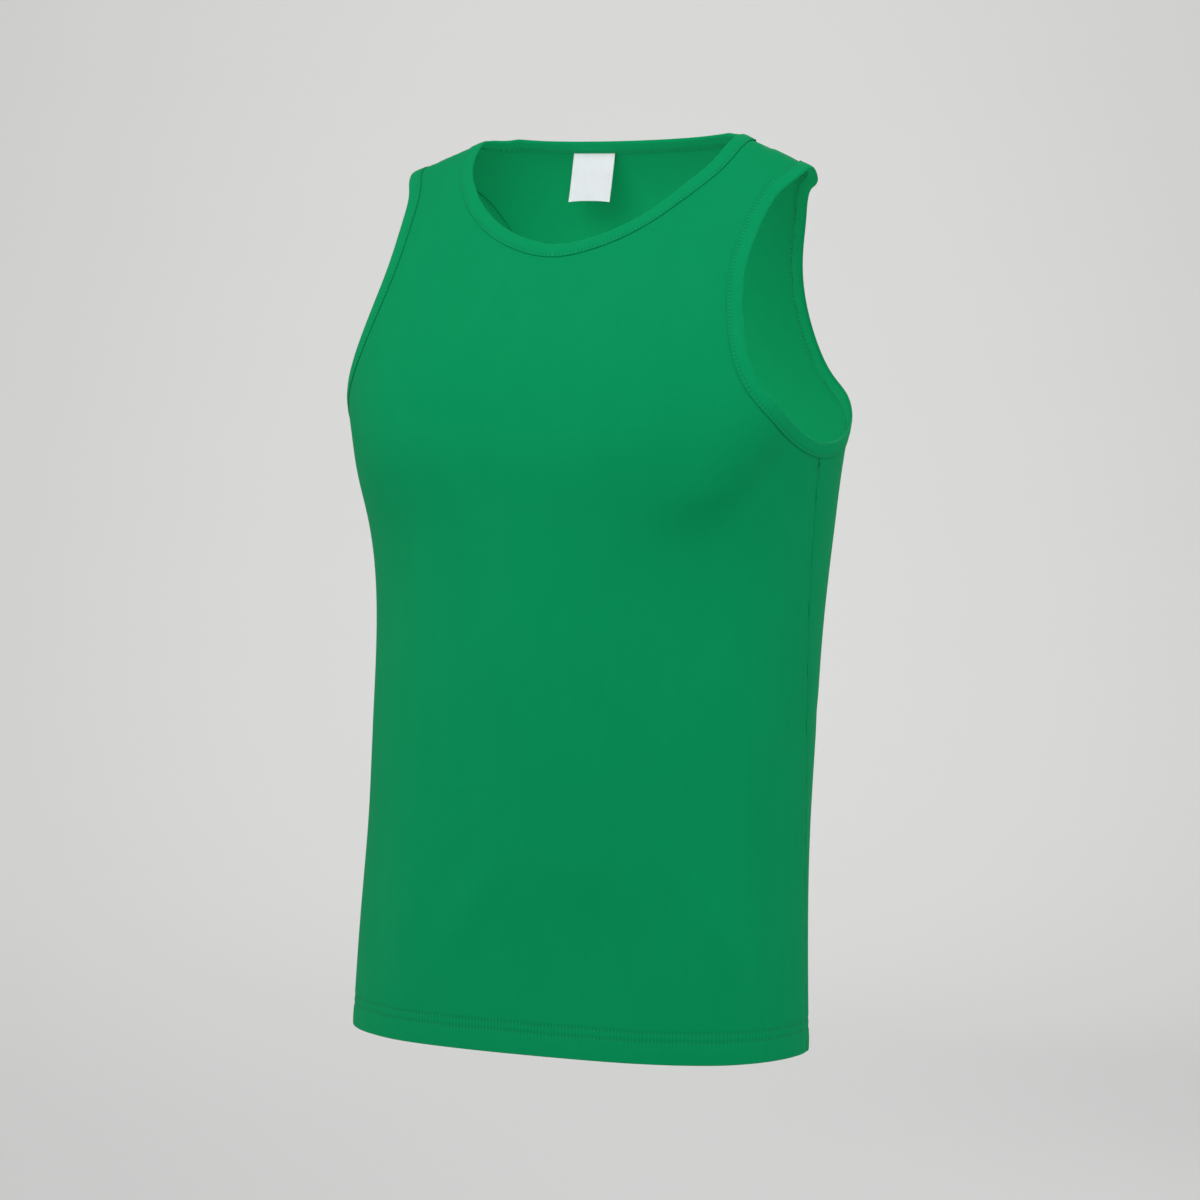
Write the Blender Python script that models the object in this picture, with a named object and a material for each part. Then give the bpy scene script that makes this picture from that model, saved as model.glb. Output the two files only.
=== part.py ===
"""An athletic vest in smooth sports knit, in the hollow form that it has when it is worn.

Metres, +Z up. The front faces -Y and the wearer's left is +X. The origin lies midway between the two
neck points, on the level where the cloth rests on the shoulders.

A place on the cloth is an angle and a height. The angle goes round the body in degrees: 0 at the centre
front, about 90 at the wearer's left side, 180 at the centre back, and negative on the wearer's right. Up
to the start of the shoulder arch the height is the real height. Above it the rings close over the
shoulder, and height 0 is the ridge of the shoulder, where the front meets the back.
"""

import math

import bmesh
import bpy
import numpy as np

MM = 0.001

# The cloth.
WALL = 1.0 * MM
HEM_WALL = 2.0 * MM  # two layers, sewn down
SEAM_GAP = 0.3 * MM
HEM_LEVEL = -700 * MM
HEM_TOP = HEM_LEVEL + 25 * MM  # as far up as the cloth is turned inside
HEM_STEP = 0.6 * MM  # the wall thins to one layer within this height

# The bindings: a strip of the same cloth, folded over the raw edge.
BINDING_WIDTH = 12 * MM
BINDING_WALL = 1.0 * MM
FOLD_WALL = 1.2 * MM
RAW_EDGE = FOLD_WALL + SEAM_GAP  # how far the panel's edge stays from the fold
UNDER_BINDING = BINDING_WIDTH + 1 * MM  # the panel's first row past the binding

# The worn form. Lengths are in millimetres from the body's upright axis. A square share of 0 is an
# ellipse, and a larger one fills the ring out between the front, the side and the back.
RING_COLUMNS = (
    "height",
    "half_width",
    "front_depth",
    "back_depth",
    "centre_y",
    "front_square",
    "back_square",
)
RINGS = (
    (-700, 192, 108, 103, -49, 0.065, 0.014),
    (-620, 188, 113, 105, -43, 0.056, 0.004),
    (-540, 185, 117, 107, -36, 0.038, 0.005),
    (-460, 185, 122, 110, -29, 0.031, 0.015),
    (-380, 187, 126, 112, -23, 0.014, 0.023),
    (-300, 194, 128, 114, -19, 0.039, 0.033),
    (-220, 205, 126, 107, -18, 0.112, 0.080),
    (-165, 211, 106, 93, -14, 0.120, 0.190),
    (-110, 213, 84, 88, -10, 0.130, 0.190),
    (-55, 210, 67, 86, -9, 0.090, 0.080),
    (0, 212, 60, 78, -9, 0.032, -0.020),
)
ARCH_START = -220 * MM
RIDGE_LEVEL_TO = 95 * MM  # the ridge is level as far out as this, and then falls
RIDGE_DROP_AT = 180 * MM
LEFT_DROP = 35 * MM
RIGHT_DROP = 31 * MM
RIDGE_CURVE = 1.16
RIGHT_REACH = 9 * MM  # how much further out the wearer's right shoulder draws its strap

# The side seam, as an angle at each height in millimetres.
SIDE_SEAM_COLUMNS = ("height", "angle")
SIDE_SEAM = (
    (-700, 100.5),
    (-620, 99),
    (-540, 97),
    (-460, 93),
    (-380, 89.1),
    (-300, 85.6),
    (-220, 82.4),
)

# The neckline, at the fold of its binding, on the wearer's left. Both tables run from the centre towards
# the ridge of the shoulder, which they meet at the half width given here.
NECK_HALF_WIDTH = 114.5 * MM
NECK_COLUMNS = ("x", "height")
FRONT_NECK = (
    (0, -131),
    (30, -127),
    (55, -119),
    (75, -108),
    (92, -93),
    (104, -75),
    (111, -50),
)
BACK_NECK = (
    (0, -36),
    (40, -35),
    (72, -32),
    (94, -27),
    (108, -17),
)

# The armhole, at the fold of its binding, from the side seam up to the shoulder.
SHOULDER_HALF_WIDTH = 176 * MM
ARMHOLE_BOTTOM = -238.5 * MM
ARMHOLE_COLUMNS = ("angle", "height")
FRONT_ARMHOLE = (
    (76.5, -235),
    (64.5, -221),
    (52.5, -199),
    (45.5, -169),
    (41.8, -135),
    (42.2, -100),
    (46, -65),
    (51, -32),
)
BACK_ARMHOLE = (
    (92, -238),
    (103, -233),
    (117, -221),
    (128.5, -208),
    (138, -197),
    (145.5, -175),
    (148, -140),
    (144.5, -103),
    (136, -65),
    (126.5, -31),
)

# The soft folds and swells: the middle, the half widths beside, above and below it in degrees and
# millimetres, and how far the cloth stands out of the smooth form there in millimetres.
FOLD_COLUMNS = ("name", "angle", "height", "beside", "above", "below", "rise")
FOLDS = (
    ("right underarm", -62, -230, 17, 45, 30, -4.5),
    ("left chest", 41, -238, 22, 75, 42, 6.0),
    ("right chest", -37, -236, 22, 75, 42, 5.5),
    ("hollow under the left chest", 46, -330, 20, 30, 60, -3.5),
    ("hollow under the right chest", -42, -330, 20, 30, 60, -3.5),
    ("middle of the belly", 8, -430, 15, 110, 90, 2.5),
    ("trough over the front hem", 14, -640, 26, 75, 90, -6.0),
    ("front fold by the left hip", 56, -590, 8, 130, 110, 3.5),
    ("front fold by the right hip", -30, -600, 9, 90, 110, 3.0),
    ("left shoulder blade", 157, -205, 14, 70, 60, 4.0),
    ("right shoulder blade", -157, -205, 14, 70, 60, 4.0),
    ("small of the back", 180, -430, 26, 110, 100, -6.0),
    ("back fold by the left hip", 146, -600, 10, 120, 110, 3.0),
    ("back fold by the right hip", -150, -590, 10, 130, 110, 3.5),
)

# The label: bare, sewn on under the back neck binding, a little off the middle as it was worn.
LABEL_WIDTH = 37 * MM
LABEL_LENGTH = 38 * MM
LABEL_WALL = 0.8 * MM
LABEL_MIDDLE = -31 * MM
LABEL_HANG_OFF = 2.0 * MM  # how far its free end stands off the panel

# How finely the meshes are cut.
NECK_STATIONS = 12
SHOULDER_STATIONS = 3
ARMHOLE_STATIONS = 18
BODY_ROWS = 12
LABEL_CELLS = 5
CHEST_ROW_DIP = 55 * MM  # how far the chest row hangs at the centre, to fan the cells at the underarm
FINE_STATIONS = 300  # for measuring along a line
DEGREE = 2.6 * MM  # about what a degree is on the cloth
EVENING_ROUNDS = 400
HALVINGS = 40  # how often a search halves its range
MOVE_STEPS = 4
LENGTH_STEPS = 8
SMALL_TURN = 0.05  # degrees, for measuring a slope
SMALL_RISE = 0.2 * MM
SAME_PLACE = 1e-9  # degrees or metres
SAME_POINT = 0.01 * MM

FRONT = 0
BACK = 180
LEFT = 1
RIGHT = -1

GREEN = (0.002, 0.24, 0.085)
BRIGHT_GREEN = (0.002, 0.28, 0.105)
WHITE = (0.85, 0.86, 0.88)
KNIT_ROUGHNESS = 0.75
LABEL_ROUGHNESS = 0.45


def read(table, columns, name):
    """One column of a table as an array."""
    return np.array([row[columns.index(name)] for row in table], float)


def smooth(knots, values, at):
    """Values between knots along a natural cubic spline. Past its ends the end value holds."""
    step = np.diff(knots)
    slope = np.diff(values) / step
    last = len(knots) - 1
    system = np.eye(last + 1)
    right = np.zeros(last + 1)
    for i in range(1, last):
        system[i, i - 1 : i + 2] = step[i - 1], 2 * (step[i - 1] + step[i]), step[i]
        right[i] = 6 * (slope[i] - slope[i - 1])
    bend = np.linalg.solve(system, right)
    at = np.clip(at, knots[0], knots[-1])
    i = np.clip(np.searchsorted(knots, at) - 1, 0, last - 1)
    b = (at - knots[i]) / step[i]
    a = 1 - b
    curve = ((a**3 - a) * bend[i] + (b**3 - b) * bend[i + 1]) * step[i] ** 2 / 6
    return a * values[i] + b * values[i + 1] + curve


def ring(name, height):
    """A column of the rings at any height, in metres where it is a length."""
    unit = 1 if name.endswith("square") else MM
    heights = read(RINGS, RING_COLUMNS, "height") * MM
    return smooth(heights, read(RINGS, RING_COLUMNS, name) * unit, height)


def half_width_at(angle, height):
    """How far a place lies to the side of the middle."""
    turn = np.radians(angle)
    square = np.where(np.abs(angle) > 90, ring("back_square", height), ring("front_square", height))
    return ring("half_width", height) * np.sin(turn) * (1 + square * np.sin(2 * turn) ** 2)


def ridge_height(x):
    """The real height of the shoulder ridge, this far from the middle."""
    out = np.maximum(np.abs(x) - RIDGE_LEVEL_TO, 0) / (RIDGE_DROP_AT - RIDGE_LEVEL_TO)
    return -np.where(x > 0, LEFT_DROP, RIGHT_DROP) * out**RIDGE_CURVE


def bare_form(angle, height):
    """Points of the worn form without its folds."""
    angle, height = np.broadcast_arrays(np.asarray(angle, float), np.asarray(height, float))
    turn = np.radians(angle)
    behind = np.abs(angle) > 90
    square = np.where(behind, ring("back_square", height), ring("front_square", height))
    depth = np.where(behind, ring("back_depth", height), ring("front_depth", height))
    x = half_width_at(angle, height)
    y = ring("centre_y", height) - depth * np.cos(turn) * (1 + square * np.sin(2 * turn) ** 2)
    rise = np.clip((height - ARCH_START) / -ARCH_START, 0, 1) * math.pi / 2
    z = ARCH_START + (ridge_height(x) - ARCH_START) * np.sin(rise)
    reach = np.maximum(-x - NECK_HALF_WIDTH, 0) / (SHOULDER_HALF_WIDTH - NECK_HALF_WIDTH)
    x = x - RIGHT_REACH * reach * np.sin(rise) ** 3
    return np.stack([x, y * np.cos(rise), np.where(height < ARCH_START, height, z)], axis=-1)


def across(surface, angle, height):
    """How a surface runs at a place: its change for a degree, for a metre of height, and its normal."""
    more, less = surface(angle + SMALL_TURN, height), surface(angle - SMALL_TURN, height)
    round_it = (more - less) / (2 * SMALL_TURN)
    top = np.minimum(height + SMALL_RISE, 0)
    low = top - 2 * SMALL_RISE
    up_it = (surface(angle, top) - surface(angle, low)) / (2 * SMALL_RISE)
    normal = np.cross(round_it, up_it)
    return round_it, up_it, normal / np.linalg.norm(normal, axis=-1, keepdims=True)


def relief(angle, height):
    """How far the folds stand out of the bare form."""
    total = np.zeros(np.broadcast(angle, height).shape)
    for row in FOLDS:
        fold = dict(zip(FOLD_COLUMNS, row))
        aside = (angle - fold["angle"] + 180) % 360 - 180
        over = height - fold["height"] * MM
        reach = np.where(over > 0, fold["above"], fold["below"]) * MM
        total += fold["rise"] * MM * np.exp(-((aside / fold["beside"]) ** 2) - (over / reach) ** 2)
    return total


def cloth(angle, height):
    """Points in the middle of the cloth's thickness."""
    normal = across(bare_form, angle, height)[2]
    return bare_form(angle, height) + normal * relief(angle, height)[..., None]


def cloth_normal(angle, height):
    """The way out of the cloth at a place."""
    return across(cloth, angle, height)[2]


def angle_at(x, height, face):
    """The angle at which a ring is this far from the middle, on the front or the back."""
    low = np.zeros(np.broadcast(x, height).shape)
    high = low + 90
    for _ in range(HALVINGS):
        middle = (low + high) / 2
        too_far = half_width_at(np.abs(face - middle), height) > x
        low = np.where(too_far, low, middle)
        high = np.where(too_far, middle, high)
    return np.abs(face - (low + high) / 2)


def side_angle(height):
    """Where the side seam runs at a height."""
    heights = read(SIDE_SEAM, SIDE_SEAM_COLUMNS, "height") * MM
    return smooth(heights, read(SIDE_SEAM, SIDE_SEAM_COLUMNS, "angle"), height)


def evenly(angle, height, stations):
    """The same line over the cloth with its stations evenly spaced."""
    points = bare_form(angle, height)
    along = np.concatenate([[0], np.cumsum(np.linalg.norm(np.diff(points, axis=0), axis=1))])
    wanted = np.linspace(0, along[-1], stations + 1)
    return np.interp(wanted, along, angle), np.interp(wanted, along, height)


def edge_line(angle, height, stations):
    """A smooth line through places on the front or the back, with its stations evenly spaced."""
    points = bare_form(angle, height)
    along = np.concatenate([[0], np.cumsum(np.linalg.norm(np.diff(points, axis=0), axis=1))])
    fine = np.linspace(0, along[-1], FINE_STATIONS)
    return evenly(smooth(along, angle, fine), smooth(along, height, fine), stations)


def neckline(face):
    """The fold of the neck binding from the centre to the ridge of the wearer's left shoulder."""
    table = FRONT_NECK if face == FRONT else BACK_NECK
    x = np.append(read(table, NECK_COLUMNS, "x") * MM, NECK_HALF_WIDTH)
    height = np.append(read(table, NECK_COLUMNS, "height") * MM, 0)
    angle = angle_at(x, height, face)
    # The line is drawn on over the centre, so that it crosses the centre square.
    angle = np.concatenate([2 * face - angle[:0:-1], angle])
    height = np.concatenate([height[:0:-1], height])
    angle, height = edge_line(angle, height, 2 * NECK_STATIONS)
    return angle[NECK_STATIONS:], height[NECK_STATIONS:]


def armhole(face):
    """The fold of the armhole binding from the side seam to the ridge of the wearer's left shoulder."""
    table = FRONT_ARMHOLE if face == FRONT else BACK_ARMHOLE
    tip = angle_at(SHOULDER_HALF_WIDTH, 0, face)
    angle = np.concatenate([[side_angle(ARMHOLE_BOTTOM)], read(table, ARMHOLE_COLUMNS, "angle"), [tip]])
    height = np.concatenate([[ARMHOLE_BOTTOM], read(table, ARMHOLE_COLUMNS, "height") * MM, [0]])
    return edge_line(angle, height, ARMHOLE_STATIONS)


def dot(vectors, others):
    """The dot product of each pair of vectors."""
    return np.sum(vectors * others, axis=-1)


def moved_in(angle, height, distance, turn):
    """A line over the cloth, moved by a distance on it. Seen from outside, it goes left if turn is 1."""
    for _ in range(MOVE_STEPS):
        points = bare_form(angle, height)
        round_it, up_it, normal = across(bare_form, angle, height)
        ahead = np.gradient(points, axis=0)
        inward = np.cross(normal, ahead) * turn
        inward *= distance / MOVE_STEPS / np.linalg.norm(inward, axis=1, keepdims=True)
        # The move is a mix of the two ways along the surface, found by least squares.
        rr, uu, ru = dot(round_it, round_it), dot(up_it, up_it), dot(round_it, up_it)
        ri, ui = dot(round_it, inward), dot(up_it, inward)
        spread = rr * uu - ru**2
        angle = angle + (ri * uu - ui * ru) / spread
        height = np.minimum(height + (ui * rr - ri * ru) / spread, 0)
    return angle, height


def neck_line(face, distance):
    """The neckline, moved into the panel. Its ends stay on the centre line and on the shoulder ridge."""
    angle, height = moved_in(*neckline(face), distance, -1 if face == FRONT else 1)
    angle[0] = face
    angle[-1] = angle_at(NECK_HALF_WIDTH + distance, 0, face)
    height[-1] = 0
    return angle, height


def arm_line(face, distance):
    """The armhole, moved into the panel. Its ends stay on the side seam and on the shoulder ridge."""
    angle, height = moved_in(*armhole(face), distance, 1 if face == FRONT else -1)
    height[0] = ARMHOLE_BOTTOM - distance
    angle[0] = side_angle(height[0])
    angle[-1] = angle_at(SHOULDER_HALF_WIDTH - distance, 0, face)
    height[-1] = 0
    return angle, height


def shoulder_line(face, start, end):
    """The shoulder seam between two angles, along the ridge."""
    x = np.linspace(half_width_at(start, 0), half_width_at(end, 0), SHOULDER_STATIONS + 1)
    return angle_at(x, 0 * x, face), 0 * x


def evened(places):
    """A grid of places with its inner ones moved until its lines run smoothly between its edges.

    Places are angles and heights. A degree counts as DEGREE of height, and the lines solve Winslow's
    equations, which never let a cell fold over.
    """
    flat = places * np.array([DEGREE, 1])[:, None, None]
    for _ in range(EVENING_ROUNDS):
        over = (flat[:, 1:-1, 2:] - flat[:, 1:-1, :-2]) / 2
        up = (flat[:, 2:, 1:-1] - flat[:, :-2, 1:-1]) / 2
        a, b, c = (up**2).sum(0), (over * up).sum(0), (over**2).sum(0)
        sides = flat[:, 1:-1, 2:] + flat[:, 1:-1, :-2]
        ends = flat[:, 2:, 1:-1] + flat[:, :-2, 1:-1]
        corners = (flat[:, 2:, 2:] - flat[:, 2:, :-2] - flat[:, :-2, 2:] + flat[:, :-2, :-2]) / 4
        flat[:, 1:-1, 1:-1] = (a * sides + c * ends - 2 * b * corners) / (2 * (a + c))
    return flat / np.array([DEGREE, 1])[:, None, None]


def filled(left, right, low, top):
    """A grid of places between four lines that meet at their ends."""
    share = np.linspace(0, 1, top.shape[1])
    up = np.linspace(0, 1, right.shape[1])[:, None]
    grid = []
    for k in (0, 1):
        sides = (1 - share) * left[k][:, None] + share * right[k][:, None]
        ends = (1 - up) * low[k] + up * top[k]
        corners = (1 - up) * ((1 - share) * low[k, 0] + share * low[k, -1])
        corners += up * ((1 - share) * top[k, 0] + share * top[k, -1])
        grid.append(sides + ends - corners)
    return np.array(grid)


def half_panel(face):
    """The three grids of places of half a panel: the body and yoke, and the strips under the bindings."""
    neck = np.array([neck_line(face, d) for d in (RAW_EDGE, UNDER_BINDING)])
    arm = np.array([arm_line(face, d) for d in (RAW_EDGE, UNDER_BINDING)])
    shoulder = np.array(shoulder_line(face, neck[1, 0, -1], arm[1, 0, -1]))
    top = np.concatenate([neck[1], shoulder[:, 1:]], axis=1)
    right = arm[1]
    columns = top.shape[1]
    share = np.linspace(0, 1, columns)
    underarm = right[:, 0]
    dip = CHEST_ROW_DIP * (1 - share**2)
    chest = np.array([face + share * (underarm[0] - face), underarm[1] - dip])
    rows = right.shape[1]
    centre = np.array([np.full(rows, face), np.linspace(chest[1, 0], top[1, 0], rows)])
    yoke = evened(filled(centre, right, chest, top))
    rise = np.linspace(0, 1, BODY_ROWS + 1)[:-1, None]
    single = HEM_TOP + HEM_STEP
    hem = np.repeat([[HEM_LEVEL], [HEM_TOP]], columns, axis=1)
    levels = np.concatenate([hem, single + rise * (chest[1] - single)])
    turned = face + share * (side_angle(levels) - face)
    body = np.array([np.concatenate([turned, yoke[0]]), np.concatenate([levels, yoke[1]])])
    return body, np.stack([neck[0], neck[1]], axis=1), np.stack([arm[0], arm[1]], axis=1)


def finish(name, grid, material):
    """Makes a bmesh a named object with its material, its faces turned out and shaded smooth."""
    bmesh.ops.recalc_face_normals(grid, faces=grid.faces)
    mesh = bpy.data.meshes.new(name)
    grid.to_mesh(mesh)
    grid.free()
    mesh.shade_smooth()
    mesh.materials.append(material)
    bpy.context.scene.collection.objects.link(bpy.data.objects.new(name, mesh))


def add_cell(grid, first, second, third, fourth):
    """Adds a cell as two triangles that meet between its first and third corner."""
    grid.faces.new((first, second, third))
    grid.faces.new((first, third, fourth))


def add_grid(grid, outer, inner):
    """Adds a grid of outer points to a bmesh. Each point keeps the way to its inner point."""
    inward = grid.verts.layers.float_vector["inward"]
    rows, columns = outer.shape[:2]
    corners = [[grid.verts.new(outer[i, j]) for j in range(columns)] for i in range(rows)]
    for i in range(rows):
        for j in range(columns):
            corners[i][j][inward] = inner[i, j] - outer[i, j]
    for i in range(rows - 1):
        for j in range(columns - 1):
            add_cell(grid, corners[i][j], corners[i][j + 1], corners[i + 1][j + 1], corners[i + 1][j])


def sheet_of(grids):
    """A bmesh wall of cloth from grids of outer and inner points: the outer side, extruded to the inner."""
    grid = bmesh.new()
    inward = grid.verts.layers.float_vector.new("inward")
    for outer, inner in grids:
        add_grid(grid, outer, inner)
    bmesh.ops.remove_doubles(grid, verts=grid.verts, dist=SAME_POINT)
    made = bmesh.ops.extrude_face_region(grid, geom=list(grid.faces), use_keep_orig=True)
    for piece in made["geom"]:
        if isinstance(piece, bmesh.types.BMVert):
            piece.co += piece[inward]
    return grid


def panel(name, face, material):
    """A front or a back, from the neckline and shoulders down to the turned-up hem."""
    apart = SEAM_GAP / 2 * (-1 if face == FRONT else 1)
    grids = []
    for side in (LEFT, RIGHT):
        for angle, height in half_panel(face):
            middle, out = cloth(angle * side, height), cloth_normal(angle * side, height)
            on_ridge = height > -SAME_PLACE
            on_side = np.abs(angle - side_angle(height)) < SAME_PLACE
            middle[..., 1] += np.where(on_ridge | on_side, apart, 0)
            on_middle = np.abs(angle - face) < SAME_PLACE
            middle[on_middle, 0] = 0
            out[on_middle, 0] = 0
            wall = np.where(height < HEM_TOP + HEM_STEP / 2, HEM_WALL, WALL)[..., None]
            outer = middle + out * WALL / 2
            grids.append((outer, outer - out * wall))
    finish(name, sheet_of(grids), material)


def binding_profile():
    """The folded strip cut across: how far from the fold, and how far out of the middle of the cloth."""
    near = WALL / 2 + SEAM_GAP
    far = near + BINDING_WALL
    outside = [(BINDING_WIDTH, far), (FOLD_WALL, far), (0, near)]
    inside = [(reach, -out) for reach, out in reversed(outside)]
    slot = [(BINDING_WIDTH, -near), (FOLD_WALL, -near), (FOLD_WALL, near), (BINDING_WIDTH, near)]
    return outside + inside + slot


def binding(name, places, quarter, material):
    """A strip folded over a raw edge, as a closed ring.

    Places are its stations at the panel's edge and past the binding. They run up one panel and down the
    next, a quarter of them at a time, and each cell is split as the panel's cell under it is.
    """
    edge, past = (cloth(*line) for line in places)
    edge_out, past_out = (cloth_normal(*line) for line in places)
    grid = bmesh.new()
    rings = []
    for reach, out in binding_profile():
        share = (reach - RAW_EDGE) / (UNDER_BINDING - RAW_EDGE)
        points = edge + (past - edge) * share + (edge_out + (past_out - edge_out) * share) * out
        rings.append((reach, [grid.verts.new(point) for point in points]))
    for pair in zip(rings, rings[1:] + rings[:1]):
        near, far = (line for _reach, line in sorted(pair, key=lambda one: one[0]))
        for j in range(len(near)):
            k = (j + 1) % len(near)
            if j // quarter % 2:
                j, k = k, j
            add_cell(grid, near[j], far[j], far[k], near[k])
    finish(name, grid, material)


def loop_of(line, distances):
    """A closed ring of places, from a line's front and back halves, for each distance into the panels."""
    rings = []
    for distance in distances:
        front, back = np.array(line(FRONT, distance)), np.array(line(BACK, distance))
        rings.append(np.concatenate([front, back[:, -2::-1]], axis=1))
    return rings


def neck_binding(material):
    """The binding of the neckline: both shoulders, front and back."""
    rings = []
    for half in loop_of(neck_line, (RAW_EDGE, UNDER_BINDING)):
        other = half[:, -2:0:-1] * np.array([[-1], [1]])
        rings.append(np.concatenate([half, other], axis=1))
    binding("neck_binding", rings, NECK_STATIONS, material)


def armhole_binding(name, side, material):
    """The binding of the armhole on the wearer's left or right."""
    rings = []
    for half in loop_of(arm_line, (RAW_EDGE, UNDER_BINDING)):
        rings.append(half[:, :-1] * np.array([[side], [1]]))
    binding(name, rings, ARMHOLE_STATIONS, material)


def height_below(x, top, length):
    """The height at which the back has run down by a length from the top."""
    height = np.array(top, float)
    for _ in range(LENGTH_STEPS):
        angle = angle_at(np.abs(x), height, BACK)
        speed = np.linalg.norm(across(bare_form, angle, height)[1], axis=-1)
        height = height - length / LENGTH_STEPS / speed
    return height


def label(material):
    """The bare label on the inside of the back, under the neck binding."""
    top_angle, top_height = neck_line(BACK, BINDING_WIDTH + SEAM_GAP)
    x = LABEL_MIDDLE + np.linspace(-0.5, 0.5, LABEL_CELLS + 1) * LABEL_WIDTH
    top = np.interp(np.abs(x), half_width_at(top_angle, top_height), top_height)
    outer, inner = [], []
    off = WALL / 2 + SEAM_GAP
    for share in np.linspace(0, 1, LABEL_CELLS + 1):
        height = height_below(x, top, share * LABEL_LENGTH)
        angle = angle_at(np.abs(x), height, BACK) * np.sign(x)
        away = cloth_normal(angle, height) * -1
        stand = off + LABEL_HANG_OFF * share**2
        outer.append(cloth(angle, height) + away * stand)
        inner.append(cloth(angle, height) + away * (stand + LABEL_WALL))
    finish("neck_label", sheet_of([(np.array(outer), np.array(inner))]), material)


def material(name, colour, roughness):
    """A plain Principled material."""
    made = bpy.data.materials.new(name)
    made.use_nodes = True
    shader = made.node_tree.nodes["Principled BSDF"]
    shader.inputs["Base Color"].default_value = (*colour, 1)
    shader.inputs["Roughness"].default_value = roughness
    shader.inputs["Metallic"].default_value = 0
    return made


def main():
    """Clears the scene and builds the six pieces."""
    for old in list(bpy.data.objects):
        bpy.data.objects.remove(old, do_unlink=True)
    panel("front_panel", FRONT, material("front_knit", GREEN, KNIT_ROUGHNESS))
    panel("back_panel", BACK, material("back_knit", GREEN, KNIT_ROUGHNESS))
    neck_binding(material("neck_binding_knit", BRIGHT_GREEN, KNIT_ROUGHNESS))
    left_knit = material("left_binding_knit", BRIGHT_GREEN, KNIT_ROUGHNESS)
    armhole_binding("left_armhole_binding", LEFT, left_knit)
    right_knit = material("right_binding_knit", BRIGHT_GREEN, KNIT_ROUGHNESS)
    armhole_binding("right_armhole_binding", RIGHT, right_knit)
    label(material("label_satin", WHITE, LABEL_ROUGHNESS))


main()
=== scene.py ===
"""The looks of an athletic vest: green sports knit, folded bindings, a twin-stitched hem, a satin label
and a plain studio.

Metres, +Z up, the front faces -Y and the wearer's left is +X, as in the part's own frame. A place on the
cloth is an angle and a height. The angle goes round the body in degrees: 0 at the centre front, about 90
at the wearer's left side, 180 at the centre back. Up to the start of the shoulder arch the height is the
real height. Above it the rings close over the shoulder, and height 0 is the ridge of the shoulder.
"""

import logging
import math
from dataclasses import dataclass, field
from enum import Enum
from functools import cached_property
from typing import Any, Callable, Iterable

import bmesh
import bpy
import numpy as np
from mathutils import Matrix, Vector


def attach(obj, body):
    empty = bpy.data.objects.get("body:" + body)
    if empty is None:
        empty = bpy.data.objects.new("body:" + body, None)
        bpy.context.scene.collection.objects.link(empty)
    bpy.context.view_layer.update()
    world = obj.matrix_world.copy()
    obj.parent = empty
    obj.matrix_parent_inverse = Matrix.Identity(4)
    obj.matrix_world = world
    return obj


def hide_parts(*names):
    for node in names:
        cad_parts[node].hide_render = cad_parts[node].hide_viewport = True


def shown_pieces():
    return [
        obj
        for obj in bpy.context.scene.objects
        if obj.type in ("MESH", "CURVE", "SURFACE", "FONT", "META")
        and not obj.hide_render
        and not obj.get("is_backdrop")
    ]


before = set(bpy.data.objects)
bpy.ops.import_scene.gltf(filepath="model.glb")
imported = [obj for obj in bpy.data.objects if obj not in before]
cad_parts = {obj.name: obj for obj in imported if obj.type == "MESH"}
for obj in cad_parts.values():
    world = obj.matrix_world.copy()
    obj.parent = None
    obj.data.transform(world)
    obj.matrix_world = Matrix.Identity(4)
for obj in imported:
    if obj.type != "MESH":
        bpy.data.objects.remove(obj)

Array = np.ndarray
Colour = tuple[float, float, float]
Place = tuple[float, float, float]
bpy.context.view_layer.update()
MM = 0.001
HEM_LEVEL = -700 * MM
HEM_ROWS = (23.4 * MM, 17.0 * MM)  # the heights of the hem's two needle rows over its lower edge
STITCH_PITCH = 2.9 * MM
STITCH_REACH = 10.1 * MM  # how far a binding's needle row is from its fold
STRIP_ROWS = (2.5 * MM, 24.2 * MM)  # where that row shows on the flat strip, outside and inside
LOG = logging.getLogger("vest")


class Face(Enum):
    """A front or a back, with the angle of its middle."""

    FRONT = 0
    BACK = 180

    @property
    def way(self) -> int:
        """-1 for the front, which faces -Y, and 1 for the back."""
        return -1 if self is Face.FRONT else 1


class Side(Enum):
    """The wearer's left or right."""

    LEFT = 1
    RIGHT = -1


# ---------------------------------------------------------------- lines and waves


def bell(distance: Array | float, reach: float) -> Array | float:
    """Returns 1 at a distance of 0, falling off to 0.37 at the reach."""
    return np.exp(-((distance / reach) ** 2))


def closed(points: Array) -> Array:
    """Returns a ring's points with the first one again at the end."""
    return np.concatenate([points, points[:1]])


def run_of(points: Array) -> Array:
    """Returns how far along a line each of its points is."""
    return np.concatenate([[0], np.cumsum(np.linalg.norm(np.diff(points, axis=0), axis=1))])


def sampled(at: Array, along: Array, values: Array) -> Array:
    """Returns points or directions at distances along a line.

    Args:
        at: the distances.
        along: how far along the line its own points are.
        values: what they are there, with x, y and z along the last axis.
    """
    return np.stack([np.interp(at, along, values[:, axis]) for axis in range(3)], axis=1)


def spaced(count: int, fine_start: bool, fine_end: bool) -> Array:
    """Shares from 0 to 1 whose steps grow small towards a seam.

    Args:
        count: how many steps.
        fine_start: whether there is a seam at 0.
        fine_end: whether there is one at 1.

    Returns:
        count + 1 shares.
    """
    steps = np.ones(count)
    near_seam = np.array([0.22, 0.3, 0.42, 0.6, 0.8])
    if fine_start:
        steps[:5] = near_seam
    if fine_end:
        steps[-5:] = near_seam[::-1]
    return np.concatenate([[0], np.cumsum(steps)]) / steps.sum()


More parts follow.
